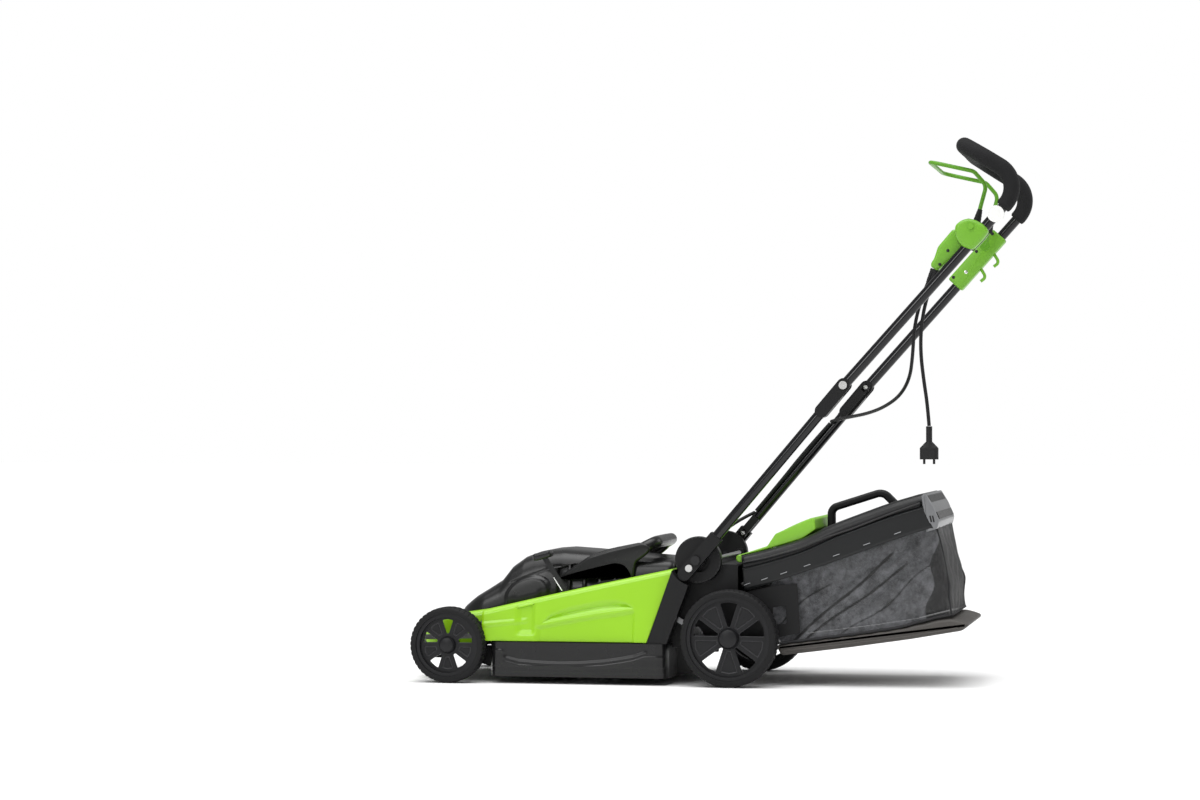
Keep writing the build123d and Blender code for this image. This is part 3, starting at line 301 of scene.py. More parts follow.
class Val:
    """One output socket whose operators add Math nodes."""

    def __init__(self, finish, socket):
        self.finish, self.socket = finish, socket

    def _math(self, operation, *values):
        return self.finish.node("ShaderNodeMath", {"operation": operation}, *values)

    def __add__(self, other):
        return self._math("ADD", self, other)

    def __radd__(self, other):
        return self._math("ADD", other, self)

    def __sub__(self, other):
        return self._math("SUBTRACT", self, other)

    def __rsub__(self, other):
        return self._math("SUBTRACT", other, self)

    def __mul__(self, other):
        return self._math("MULTIPLY", self, other)

    def __rmul__(self, other):
        return self._math("MULTIPLY", other, self)

    def clipped(self):
        """The value held between 0 and 1."""
        return self.finish.node("ShaderNodeMath", {"operation": "ADD", "use_clamp": True}, self, 0.0)

    def wave(self):
        """The sine of the value."""
        return self._math("SINE", self)

    def power(self, exponent):
        """The value raised to a power."""
        return self._math("POWER", self, exponent)


class Finish:
    """One material and its node tree."""

    def __init__(self, name):
        self.material = bpy.data.materials.new(name)
        self.material.use_nodes = True
        self.tree = self.material.node_tree
        self.shader = self.tree.nodes["Principled BSDF"]

    def node(self, kind, settings=None, *values, output=0, **named):
        """A node of any kind; values fill its sockets in order, named ones by name."""
        made = self.tree.nodes.new(kind)
        for key, value in (settings or {}).items():
            setattr(made, key, value)
        for socket, value in [*zip(made.inputs, values), *((made.inputs[k], v) for k, v in named.items())]:
            self.join(value, socket)
        return Val(self, made.outputs[output])

    def join(self, value, socket):
        """Links a value, or sets it on the socket."""
        if isinstance(value, Val):
            self.tree.links.new(value.socket, socket)
        elif socket.type == "RGBA":
            socket.default_value = (*value, 1.0)
        else:
            socket.default_value = value

    def place(self):
        """Object coordinates, in metres."""
        return self.node("ShaderNodeTexCoord", output=3)

    def noise(self, scale, detail=2.0, rough=0.5):
        """Soft random cloud from 0 to 1; scale counts its cells in a metre."""
        return self.node("ShaderNodeTexNoise", None, Vector=self.place(), Scale=scale, Detail=detail, Roughness=rough)

    def cells(self, scale):
        """Distance to the nearest of many scattered points."""
        return self.node("ShaderNodeTexVoronoi", None, Vector=self.place(), Scale=scale)

    def mix(self, share, a, b):
        """Colour a where share is 0 and b where it is 1."""
        made = self.tree.nodes.new("ShaderNodeMix")
        made.data_type = "RGBA"
        for value, index in ((share, 0), (a, 6), (b, 7)):
            self.join(value, made.inputs[index])
        return Val(self, made.outputs[2])

    def set(self, **values):
        """Values or links on the shader's sockets; an underscore stands for a space."""
        for key, value in values.items():
            self.join(value, self.shader.inputs[key.replace("_", " ")])
        return self

    def relief(self, height, depth):
        """A Bump node from a height of 0 to 1 that is depth metres tall, linked to the shader."""
        self.set(Normal=self.node("ShaderNodeBump", None, Strength=1.0, Distance=depth, Height=height))
        return self


def lin(r, g, b):
    """A colour given as 0 to 255 display values, as linear light."""
    c = np.array([r, g, b]) / 255.0
    return tuple(float(x) for x in np.where(c <= 0.04045, c / 12.92, ((c + 0.055) / 1.055) ** 2.4))


def tinted(colour, factor, lift=0.0):
    """A colour times a factor plus a lift, held below 1."""
    return tuple(min(1.0, c * factor + lift) for c in colour)


# %% [markdown]
# ## Moulded plastic
# The shell and covers are injection-moulded polypropylene. The coloured parts are polished, so the light runs
# along them; the black parts have a spark-eroded grain a third of a millimetre wide. Both shades wander a
# little over the surface, and the grain is paler where it stands up.

# %% Plastics


def moulded(name, colour, rough, grain, depth, coat=0.0, wander=0.10, shine=0.5):
    """Moulded plastic: colour varied by a broad cloud, fine grain as bump and as roughness."""
    f = Finish(name)
    broad, fine = f.noise(9.0, 3.0), f.noise(grain, 2.0, 0.6)
    streak = f.noise(60.0, 2.0, 0.6)
    tone = (broad * 0.75 + fine * 0.25).clipped()
    f.set(Base_Color=f.mix(tone, tinted(colour, 1.0 - wander), tinted(colour, 1.0 + wander, 0.002)),
          Roughness=(rough - 0.10 + 0.13 * streak + 0.07 * fine).clipped(),
          Coat_Weight=coat, Coat_Roughness=0.12, Specular_IOR_Level=shine)
    f.relief(fine, depth)
    return f.material


shell_green = moulded("polished green plastic", lin(144, 200, 14), 0.34, 900.0, 0.00002, 0.25, 0.05)
flap_green = moulded("leaf green plastic", lin(128, 190, 40), 0.42, 1200.0, 0.00003, 0.1, 0.05)
switch_green = moulded("grass green plastic", lin(108, 170, 32), 0.44, 1400.0, 0.00004, 0.1, 0.06)
black_grain = moulded("grained black plastic", lin(19, 19, 20), 0.46, 1500.0, 0.00008, 0.0, 0.15, 0.24)
black_gloss = moulded("satin black plastic", lin(17, 17, 18), 0.30, 1100.0, 0.00003, 0.10, 0.12, 0.34)
lid_black = moulded("charcoal lid plastic", lin(20, 21, 22), 0.36, 1300.0, 0.00006, 0.05, 0.12, 0.30)
wheel_black = moulded("wheel plastic", lin(24, 24, 26), 0.40, 1300.0, 0.00006, 0.0, 0.12, 0.26)
grey_plastic = moulded("pale grey plastic", lin(168, 170, 172), 0.40, 1200.0, 0.00003, 0.1, 0.04)
smoke_grey = moulded("smoke grey plastic", lin(112, 113, 115), 0.34, 1200.0, 0.00003, 0.1, 0.05)
white_plastic = moulded("white plastic", lin(236, 236, 234), 0.38, 1200.0, 0.00003, 0.1, 0.02)
tray_taupe = moulded("taupe plastic", lin(74, 71, 68), 0.50, 1300.0, 0.00008, 0.0, 0.08, 0.3)
# Rims of the wheels' pockets and windows are drawn paler than the wheel: a painted highlight on their raised edges.
rim_highlight = moulded("wheel edge painted highlight", lin(52, 52, 54), 0.36, 1300.0, 0.00004, 0.0, 0.12, 0.35)
plug_black = moulded("plug rubber", lin(22, 22, 23), 0.50, 1800.0, 0.00006, 0.0, 0.10, 0.3)

# %% [markdown]
# ## Rubber, foam and cord
# Tyres are hard black plastic rubber with a dull face. The grip is closed-cell foam: thousands of tiny pores.
# The leads have a smooth sheath with a faint lengthwise shine.

# %% Rubber and foam


def rubber(name, colour, rough, pore, depth):
    """Dull elastomer: pores from cells, dust from a broad cloud."""
    f = Finish(name)
    pores, dust = f.cells(pore), f.noise(25.0, 4.0, 0.65)
    tone = (dust * 0.7 + pores * 0.3).clipped()
    f.set(Base_Color=f.mix(tone, tinted(colour, 0.75), tinted(colour, 1.35)),
          Roughness=(rough + 0.12 * dust).clipped(), Specular_IOR_Level=0.22)
    f.relief(pores.clipped(), depth)
    return f.material


tyre_black = rubber("tyre tread", lin(22, 22, 23), 0.58, 700.0, 0.00010)
foam_black = rubber("grip foam", lin(27, 27, 28), 0.74, 620.0, 0.00035)
cord_black = rubber("cord sheath", lin(26, 26, 27), 0.38, 1500.0, 0.00003)
boot_black = rubber("boot rubber", lin(28, 28, 29), 0.55, 1200.0, 0.00005)

# %% [markdown]
# ## Metals
# The handle tubes are steel with a thick gloss black coat, which gives one long white highlight. Bolts, levers
# and axles are zinc plated: bright, with clouds of blue and fine scratches round them.

# %% Metals


def metal(name, colour, rough, cloud=0.12, scratch=0.06):
    """Plated metal: brightness and roughness vary with clouds and fine scratches."""
    f = Finish(name)
    spangle, fine = f.noise(140.0, 3.0, 0.6), f.noise(2600.0, 1.0)
    tone = (spangle * 0.8 + fine * 0.2).clipped()
    f.set(Base_Color=f.mix(tone, tinted(colour, 1 - cloud), tinted(colour, 1 + cloud)),
          Roughness=(rough + scratch * fine + 0.1 * spangle).clipped(), Metallic=1.0)
    f.relief(fine, 0.00001)
    return f.material


def coated(name, colour, rough, coat):
    """Thick paint on steel: orange peel as a low, broad relief under a clear coat."""
    f = Finish(name)
    peel, speck = f.noise(420.0, 1.0), f.noise(2200.0, 2.0)
    f.set(Base_Color=f.mix(speck, tinted(colour, 0.8), tinted(colour, 1.3, 0.001)),
          Roughness=(rough + 0.08 * peel).clipped(), Coat_Weight=coat, Coat_Roughness=0.06, Specular_IOR_Level=0.2)
    f.relief(peel, 0.00003)
    return f.material


zinc = metal("zinc plate", (0.62, 0.62, 0.61), 0.28)
chrome = metal("bright lever", (0.86, 0.86, 0.85), 0.16, 0.05, 0.04)
plain_steel = metal("plain steel", (0.42, 0.42, 0.43), 0.36, 0.2, 0.12)
cast_aluminium = metal("cast aluminium", (0.66, 0.66, 0.67), 0.42, 0.1, 0.1)
core_metal = metal("varnished core", (0.30, 0.24, 0.19), 0.50, 0.15, 0.1)
tube_black = coated("gloss black tube paint", (0.003, 0.003, 0.004), 0.14, 0.42)
dark_paint = coated("black painted steel", (0.012, 0.012, 0.013), 0.42, 0.2)
bail_green = coated("green wire paint", lin(88, 146, 34), 0.40, 0.2)

# %% [markdown]
# ## Mesh cloth
# The catcher's cloth is a fine knitted polyester mesh. Its threads cross every 1.6 mm and are solid; between
# them up to a quarter of the light passes. A point attribute of painted shade darkens the folds, the back strip
# and the front of the cloth. The pattern follows the cloth's own lengths, given as a UV map in metres.

# %% Mesh cloth
THREAD_PITCH = 0.0016


def mesh_cloth():
    """Part open where both thread waves are low; the threads themselves rise as half rounds."""
    f = Finish("mesh cloth")
    split = f.tree.nodes.new("ShaderNodeSeparateXYZ")
    f.tree.links.new(f.node("ShaderNodeUVMap", {"uv_map": "cloth"}).socket, split.inputs[0])
    u, v = Val(f, split.outputs[0]), Val(f, split.outputs[1])
    count = 2 * pi / THREAD_PITCH
    across, down = (u * count).wave() * 0.5 + 0.5, (v * count).wave() * 0.5 + 0.5
    thread = f.node("ShaderNodeMath", {"operation": "MAXIMUM"}, across, down)
    cloud, patch = f.noise(26.0, 4.0, 0.7), f.noise(110.0, 2.0, 0.6)
    # The point attribute read here is painted shade. It is taken off the colour in the folds, along the back strip and
    # at the front.
    depth = Val(f, f.tree.nodes.new("ShaderNodeAttribute").outputs["Fac"])
    depth.socket.node.attribute_name = "painted_fold_shade"
    tone = (thread * 0.2 + (cloud * 2.4 - 0.9) * 0.6 + (patch * 2.0 - 1.0) * 0.35 + 0.08 - depth * 1.1).clipped()
    f.set(Base_Color=f.mix(tone, lin(12, 12, 13), lin(112, 113, 117)),
          Roughness=(0.62 + 0.15 * cloud).clipped(), Alpha=(0.74 + 0.26 * thread.power(2.0)).clipped(),
          Sheen_Weight=0.10, Sheen_Roughness=0.5)
    f.relief(thread, 0.0003)
    return f.material


bag_mesh = mesh_cloth()


def woven(name, colour, pitch):
    """Plain tape: a pattern of scattered cells over Object coordinates."""
    f = Finish(name)
    weave, cloud = f.cells(1.0 / pitch), f.noise(40.0, 3.0)
    tone = (weave * 0.6 + cloud * 0.4).clipped()
    f.set(Base_Color=f.mix(tone, tinted(colour, 0.6), tinted(colour, 1.5)), Roughness=(0.7 + 0.15 * cloud).clipped())
    f.relief(weave.clipped(), 0.0003)
    return f.material


tape_black = woven("binding tape", lin(30, 30, 32), 0.0012)

# %% [markdown]
# ## Finishes on the CAD pieces
# The pieces whose CAD shape is already right keep it and take the finish of their material slot.

# %% Finishes by slot
slot_finish = {
    "green_plastic": shell_green, "flap_green": flap_green, "control_green": switch_green, "bail_green": bail_green,
    "black_plastic": black_grain, "gloss_black": black_gloss, "grey_plastic": grey_plastic,
    "white_plastic": white_plastic, "wheel_plastic": wheel_black, "taupe_plastic": tray_taupe, "tyre": tyre_black,
    "tube_paint": tube_black, "steel": plain_steel, "core_steel": core_metal, "dark_metal": dark_paint,
    "aluminium": cast_aluminium, "bright_bolts": zinc, "foam": foam_black, "mesh_fabric": bag_mesh,
    "cord_rubber": cord_black, "plug_rubber": plug_black,
}
slot_of = {entry["node"]: entry["material_slot"] for entry in frame["record"]["subparts"]}
own_finish = {"lock_button": switch_green, "height_lever": dark_paint, "pivot_bolts": dark_paint}
for name, obj in nodes.items():
    obj.data.materials.clear()
    obj.data.materials.append(own_finish.get(name, slot_finish[slot_of[name]]))
print("finished", len(nodes), "CAD pieces")

# %% [markdown]
# ## The leads
# Two rubber leads leave the switch box. The short one ends in a plug and hangs straight, bent a little by the
# way it was packed. The motor's lead hangs in a loop to the far tube, runs down it under clips and goes into
# the cover. Each is a smooth spline with a round section.

# %% Leads
CORD_RADIUS = 3.5


def route_curve(name, points, fineness):
    """A curve with one NURBS spline of order 3 whose control points are a route's points in metres."""
    data = bpy.data.curves.new(name, "CURVE")
    data.dimensions = "3D"
    data.resolution_u = fineness
    line = data.splines.new("NURBS")
    line.points.add(len(points) - 1)
    line.points.foreach_set("co", np.concatenate([np.asarray(points), np.ones((len(points), 1))], 1).ravel())
    line.order_u = 3
    line.use_endpoint_u = True
    return data


def lead(name, points, body, stands_for):
    """A cord as a spline with a round section."""
    data = route_curve(name, points, 16)
    data.bevel_depth = CORD_RADIUS / 1000.0
    data.bevel_resolution = 5
    data.use_fill_caps = True
    obj = add(name, data)
    data.materials.append(cord_black)
    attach(obj, body)
    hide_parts(stands_for)
    return obj


supply_route = row([(395, -165, 801), (379, -163, 757), (368, -160, 705), (366, -156, 650), (372, -153, 595),
                    (379, -151, 548), (382, -150, 507)])
supply = lead("supply_lead", supply_route, "upper_handle", "supply_cord")

# %% [markdown]
# The motor's lead crosses both folding joints, so its free stretches are mesh tubes that stay fixed in the frame
# and ride on no body. Their line is still a spline of order 3: its points are read back from the curve, and a
# ring of points is carried along them.

# %% The motor's lead


def spline_line(points):
    """The line of a NURBS spline of order 3 through a route's control points, as an array of points in metres."""
    obj = bpy.data.objects.new("route", route_curve("route", points, 12))
    flat = bpy.data.meshes.new_from_object(obj)
    co = np.zeros(len(flat.vertices) * 3)
    flat.vertices.foreach_get("co", co)
    bpy.data.objects.remove(obj)
    bpy.data.meshes.remove(flat)
    return co.reshape(-1, 3)


def lead_tube(name, points, stands_for, body=None, between=None):
    """A cord as a mesh tube along its spline, riding on one body, or on none when it spans two."""
    path = spline_line(points)
    local = path * 1000.0 - np.array([REAR, 0.0, 0.0])
    mesh = build_mesh(name, [tube(local, CORD_RADIUS, sides=14, up=(0.31, 0.9, 0.2))])
    clean(mesh)
    mesh.shade_smooth()
    mesh.set_sharp_from_angle(angle=radians(60))
    obj = add(name, mesh)
    mesh.materials.append(cord_black)
    if between:
        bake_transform(obj)
    else:
        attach(obj, body)
    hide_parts(stands_for)
    return obj


loop_route = row([(388, -151, 804), (368, -151, 757), (353, -148, 700), (349, -136, 645), (340, -104, 600),
                  (315, -52, 566), (277, 2, 544), (238, 56, 532), (201, 108, 526), (168, 152, 521),
                  (149.5, 172.6, 516.0)])
run_route = row([(146.8, 176.5, 512.4), (93, 176, 453), (42, 176, 389), (-7, 176.5, 331.6)])
lead_route = row([(-9.5, 175.4, 328.8), (-34, 159, 316), (-62, 136, 296), (-88, 108, 271), (-108, 80, 251),
                  (-127.5, 60, 238)])
lead_tube("motor_lead_loop", loop_route, "cable_loop", between=("upper_handle", "lower_handle"))
lead_tube("motor_lead_run", run_route, "cable_run", body="lower_handle")
lead_tube("motor_lead_end", lead_route, "cable_lead", between=("lower_handle", "chassis"))


def relief(name, start, toward, body, length=30.0, root=6.2, tip=4.3):
    """Strain relief: a taper with rings, from the housing along the cord."""
    a, b = np.asarray(start, float), np.asarray(toward, float)
    t = np.linspace(0, 1, 25)[:, None]
    path = a + (b - a) / np.linalg.norm(b - a) * t * length
    r = root + (tip - root) * t[:, 0] - 0.5 * (np.sin(t[:, 0] * 2 * pi * 7) > 0.2)
    return piece(name, [tube(path, r, sides=20, up=(0.1, 0.99, 0.1))], plug_black, body, sharp=50)


relief("supply_strain_relief", (398, -165, 809), (385, -163.5, 771), "upper_handle")
relief("loop_strain_relief", (391, -151, 811), (373, -151, 768), "upper_handle", 28.0)

# %% [markdown]
# ## Green body shell
# The shell is one moulding: two tall side panels that lean in by five degrees, a lower nose between the front
# wheels and a narrow top ledge round the motor cover. Its sides carry a long scoop with crisp upper and lower
# edges. It is worked out as one sheet: one parameter goes round the plan outline, the other up the wall, over
# the shoulder and in across the ledge. The scoop is pressed into the wall by smooth steps of X and Z, and
# Solidify gives the moulding its thickness.

# %% Body shell
WALL_LEAN = tan(radians(5.0))
PANEL_REAR, PANEL_FRONT, NOSE_TIP = -115.0, -494.0, -649.5
PANEL_HALF, NOSE_HALF, NOSE_FLAT = 204.6, 155.6, 71.1
NOSE_ARC_X, NOSE_ARC = -565.0, 84.5
STEP_LENGTH = 13.0


def ledge_height(x):
    """Height of the shell's top line at X: straight runs between the nose, the shoulder and the rear."""
    return np.interp(x, [-650, -646, -630, -590, -500, -115], [84, 92, 111, 125, 139, 224.5])


def press(x, z):
    """How far the side wall is pressed in at X and Z: a scoop between two curved lines, a step and a ledge."""
    upper = np.interp(x, [-377, -357, -317, -257, -227, -205, -193], [118, 139, 153, 166, 167, 162, 152])
    lower = np.interp(x, [-377, -337, -277, -193], [117, 125, 136, 149])
    tall = np.maximum(upper - lower, 1.0)
    ends = smooth((x + 384) / 36.0) * smooth((-186 - x) / 12.0)
    scoop = 7.5 * ends * smooth((upper - z) / (0.55 * tall + 3.0)) * smooth((z - lower) / (0.45 * tall + 3.0))
    under = 3.4 * smooth((x + 392) / 16.0) * smooth((-188 - x) / 5.0) * smooth((lower - 1.0 - z) / 10.0)
    front = 4.2 * smooth((-386 - x) / 11.0) * smooth((x + 432) / 16.0) * smooth((z - 92) / 14.0)
    brow = -1.0 * bump(z, 117 + (x + 468) * 0.1, 7.0) * smooth((-400 - x) / 10.0)
    return scoop + under + front + brow


def shell_grid(side_sign, n_side=250):
    """Half of the shell as a grid from its rear corner to the middle of the nose."""
    t = np.linspace(0, 1, n_side)
    xs = PANEL_REAR + t * (PANEL_FRONT - PANEL_REAR)
    plan_x, plan_y, nx, ny = [xs], [np.full(n_side, PANEL_HALF)], [np.zeros(n_side)], [np.ones(n_side)]
    s = np.linspace(0, 1, 26)[1:]
    step = smooth(s)
    plan_x.append(PANEL_FRONT - STEP_LENGTH * s)
    plan_y.append(PANEL_HALF + (NOSE_HALF - PANEL_HALF) * step)
    nx.append(-0.9 * np.sin(pi * s))
    ny.append(1.0 - 0.5 * np.sin(pi * s))
    x2 = np.linspace(PANEL_FRONT - STEP_LENGTH, NOSE_ARC_X, 14)[1:]
    plan_x.append(x2), plan_y.append(np.full(len(x2), NOSE_HALF)), nx.append(0 * x2), ny.append(0 * x2 + 1)
    a = np.linspace(0, pi / 2, 40)[1:]
    plan_x.append(NOSE_ARC_X - NOSE_ARC * np.sin(a)), plan_y.append(NOSE_FLAT + NOSE_ARC * np.cos(a))
    nx.append(-np.sin(a)), ny.append(np.cos(a))
    y3 = np.linspace(NOSE_FLAT, 0.0, 16)[1:]
    plan_x.append(0 * y3 + NOSE_TIP), plan_y.append(y3), nx.append(0 * y3 - 1), ny.append(0 * y3)
    px, py, nx, ny = (np.concatenate(k) for k in (plan_x, plan_y, nx, ny))
    scale = np.hypot(nx, ny)
    nx, ny = nx / scale, ny / scale
    count = len(px)
    index, arc_start = np.arange(count), n_side + 25 + 13
    side_part = index < n_side
    cx = np.where(px > -505, px, np.where(px > -565, -505 - (-505 - px) / 60 * 5, -510.0))
    arc = np.clip((index - arc_start) / 39.0, 0, 1) * pi / 2
    in_arc = index >= arc_start
    inner_x = np.where(in_arc, -514.0 - 50.0 * np.sin(arc), cx)
    inner_y = np.where(in_arc, 62.0 + 50.0 * np.cos(arc), 112.0)
    inner_y = np.where(index >= count - 15, py * 62.0 / NOSE_FLAT, inner_y)
    wall_v = np.linspace(0, 1, 90)
    turn = np.linspace(0, pi / 2, 9)[1:]
    across = np.linspace(0, 1, 14)[1:]
    radius = 9.0
    low = np.where(side_part, 83.0, np.interp(px, [-525, -500], [56.5, 83.0]))
    low = np.where(px < -525, 56.5, low)
    high = ledge_height(px)

    def slanted(z):
        """X of the plan points at height z, with the panel's rear edge leaning back as it rises."""
        rear_x = -165.0 + (z - 82.5) * 50.0 / 142.5
        share = (PANEL_FRONT - rear_x) / (PANEL_FRONT - PANEL_REAR)
        return np.where(side_part, rear_x + (px - PANEL_REAR) * share, px)

    rows = []
    for v in wall_v:
        z = low + (high - radius - low) * v
        lean = (z - 36.0) * WALL_LEAN
        x = slanted(z)
        dent = press(x, z) * side_part
        rows.append(np.stack([x - nx * (lean + dent), py - ny * (lean + dent), z], 1))
    for a_ in turn:
        z = high - radius + radius * np.sin(a_)
        lean = (high - radius - 36.0) * WALL_LEAN + radius * (1 - np.cos(a_))
        x = slanted(z)
        rows.append(np.stack([x - nx * lean, py - ny * lean, z], 1))
    edge = rows[-1]
    for t_ in across:
        x = edge[:, 0] + (inner_x - edge[:, 0]) * t_ * (~side_part)
        y = edge[:, 1] + (inner_y - edge[:, 1]) * t_
        rows.append(np.stack([x, y, ledge_height(x)], 1))
    grid = np.stack(rows, 1)
    grid[..., 1] *= side_sign
    return grid


left_half, right_half = shell_grid(-1.0), shell_grid(1.0)
whole = np.concatenate([left_half, right_half[::-1][1:]], 0)
middles = (whole[:-1, :-1] + whole[1:, 1:]) / 2
lever_slot = ((middles[..., 0] > -351) & (middles[..., 0] < -245) & (middles[..., 1] > -157)
              & (middles[..., 1] < -143) & (np.arange(whole.shape[1] - 1)[None, :] > 97))
shell_piece = piece("side_and_nose_shell", [part(row(whole), keep=~lever_slot)], shell_green, "chassis",
                    "body_shell", closed=False, sharp=70, wall=0.003)
print("shell faces", len(shell_piece.data.polygons))

# %% [markdown]
# ## Motor cover
# A satin black hood stands over the motor. Its section is a soft trapezium whose height follows the profile
# and whose width narrows at the nose. Vertical ribs stand in a sunken vent on each side, and a pod swells out
# ahead of it. One parameter runs from front to rear, the other round the section.

# %% Motor cover
COVER_LEAN = tan(radians(9.0))


def cover_top(x):
    """Height of the cover's ridge at X."""
    return np.interp(x, [-566, -552, -534, -508, -482, -462, -437, -410, -385, -358, -307, -219, -128],
                     [141, 152, 166, 182, 199, 226, 244, 254, 259, 261, 257.5, 250, 243])


def cover_grid(n_len=230, n_round=150):
    """Hood points: X along, then round the section as a superellipse, with vents and pods pressed in or out."""
    x = np.concatenate([-566 + 30 * np.linspace(0, 1, 30) ** 2, np.linspace(-535, -140, n_len),
                        -140 + 11.5 * np.sin(np.linspace(0, pi / 2, 14))[1:]])
    half = 123.5 * np.ones_like(x)
    front = np.clip((-511 - x) / 55.0, 0, 1)
    half = half - 54.5 * (1 - np.sqrt(1 - front ** 2))
    rear = np.clip((x + 140) / 11.5, 0, 0.9999)
    rear_round = 1 - np.sqrt(1 - rear ** 2)
    half = half - 9 * rear_round
    base = np.interp(x, [-566, -500, -115], [118, 131, 214])
    top = cover_top(x) - 7 * rear_round
    angle = np.linspace(0, pi, n_round)
    power = 2.0 / 5.5
    cy = np.sign(np.cos(angle)) * np.abs(np.cos(angle)) ** power
    cz = np.abs(np.sin(angle)) ** power
    z = base[:, None] + (top - base)[:, None] * cz[None, :]
    lean = (z - 105.0) * COVER_LEAN
    y = -cy[None, :] * (half[:, None] - lean)
    xx = np.tile(x[:, None], (1, n_round))
    side_share = np.clip(np.abs(cy) * 1.6 - 0.6, 0, 1)[None, :]
    ledge = np.interp(xx, [-500, -115], [140, 225])
    low_edge, high_edge = ledge + 8, np.interp(xx, [-372, -330, -218], [222, 232, 236])
    vent = smooth((xx + 366) / 6) * smooth((-214 - xx) / 6) * smooth((z - low_edge) / 3) * smooth((high_edge - z) / 3)
    ribs = smooth(5.0 * np.cos((xx + 340) * 2 * pi / 31.0) - 3.6)
    dent = 9.0 * vent * (1 - 0.9 * ribs)
    pod = -6.0 * smooth((1.0 - ((xx + 424) / 47.0) ** 2 - ((z - ledge - 16) / 34.0) ** 2) * 3.2)
    crease = 1.2 * bump(z, np.interp(xx, [-480, -372, -214], [186, 226, 241]), 3.0) * smooth((xx + 470) / 20)
    y = y - np.sign(y) * side_share * np.clip(dent + pod * (vent < 0.01) + crease, -7, 9)
    return np.stack([xx, y, z], -1)


piece("motor_hood", [part(row(cover_grid()))], black_gloss, "chassis", "motor_cover", closed=False,
      wall=0.003)

# %% [markdown]
# ## Height lever's grip
# The lever ends in a short T-shaped grip that lies across it, and a bright scale strip stands at its foot.

# %% Height lever's grip
LEVER_FOOT, LEVER_LENGTH, LEVER_LEAN = (-306, 131), 143, radians(33)
lever_top = np.array([LEVER_FOOT[0] - LEVER_LENGTH * sin(LEVER_LEAN), LEVER_FOOT[1] + LEVER_LENGTH * cos(LEVER_LEAN)])
grip = [along(lever_top, 16, s, n) for s, n in ((-19, -5), (-13, -8), (16, -7.5), (20, -2), (18, 6), (-17, 7))]
piece("lever_grip", [slab(grip, -168, -132, 5.0, 5.0)], black_gloss, "lever", "lever_knob")
scale = [along(LEVER_FOOT, 123, s, n) for s, n in ((62, 4), (94, 4), (94, 6.4), (62, 6.4))]
piece("lever_stripe", [slab(scale, -152.6, -147.4, 0.4, 0.8)], chrome, "lever")

# %% [markdown]
# ## Carry handle
# Two cheeks rise from the hood's shoulders, a round bar joins them for the hand, and a flat plate lies between
# their roots.

# %% Carry handle
bar_section = resample(arc_route([(-206, -104, 256), (-168, -104, 276), (-168, 104, 276), (-206, 104, 256)],
                                 [24, 24]), 3.0)
bar_thick = 11.6 + 0.8 * np.sin(np.linspace(0, pi, len(bar_section)))
cheek = [(-360, 199), (-326, 210), (-275, 223), (-246, 230), (-231, 228), (-222, 219), (-215, 203), (-207, 206),
         (-204, 236), (-190, 246), (-178, 256), (-174, 264), (-180, 272), (-192, 276), (-234, 266), (-262, 259),
         (-300, 247), (-352, 212)]
wing_parts = [tube(bar_section, bar_thick, sides=28, up=(0.4, 0.0, 0.9))]
for y_in in (-96.0, 96.0):
    wing_parts.append(slab(cheek, y_in, y_in * 116 / 96, 5.0, 7.0, 6))
piece("carry_wing", wing_parts, black_gloss, "chassis", "carry_handle", sharp=50)
top_plate = [(-300, 243), (-300, 250), (-262, 262), (-236, 268), (-216, 262), (-206, 247), (-214, 243)]
piece("carry_root", [slab(top_plate, -98, 98, 3.0, 6.0, 5)], black_gloss, "chassis")

# %% [markdown]
# ## Tyres
# A hard tyre has square blocks in a stagger round its edges and a smooth groove in the middle. The section is
# turned about the axle, and the radius drops where the block pattern, a product of two waves, is low.

# %% Tyres
FRONT_AXLE, REAR_AXLE = (-562.0, 75.0), (0.0, 95.0)
SIDES = (("left", -1.0), ("right", 1.0))
TYRE_HALF = 22.5


def tyre_grid(centre, outer, inner, side, blocks):
    """Tread surface: angle round the axle by position across the section."""
    sides = blocks * 10
    angle = np.linspace(0, 2 * pi, sides, endpoint=False)
    across = np.concatenate([np.linspace(-TYRE_HALF, -17, 5), np.linspace(-16, 16, 33), np.linspace(17, TYRE_HALF, 5)])
    edge = np.clip((np.abs(across) - 17.0) / 5.5, 0, 1)
    crown = outer - 4.5 * (1 - np.sqrt(1 - edge ** 2 * 0.999)) - 0.6 * (across / TYRE_HALF) ** 2
    phase = (angle[:, None] * blocks / (2 * pi) + 0.5 * (across[None, :] > 0) + 0.012 * np.abs(across)[None, :]) % 1.0
    lug = smooth(np.minimum(phase, 1 - phase) * 9 - 0.6)
    middle = smooth((np.abs(across) - 1.2) / 1.0)[None, :]
    ring = smooth((np.abs(np.abs(across) - 12.0) - 0.7) / 0.8)[None, :]
    depth = 1.5 * (1 - lug * middle * (0.35 + 0.65 * ring))
    radius = crown[None, :] - depth * (1 - 0.55 * edge[None, :])
    wall_y = np.array([TYRE_HALF, TYRE_HALF, 21.0, 0.0, -21.0, -TYRE_HALF, -TYRE_HALF])
    wall_r = np.array([outer - 9, outer - 12.4, inner, inner, inner, outer - 12.4, outer - 9])
    tail_r = np.tile(wall_r[None, :], (sides, 1))
    r = np.concatenate([radius, tail_r], 1)
    y = np.tile(np.concatenate([across, wall_y])[None, :], (sides, 1))
    g = np.stack([r * np.cos(angle)[:, None], y * side, r * np.sin(angle)[:, None]], -1)
    return part(row(g + np.asarray(centre, float)), True, True)


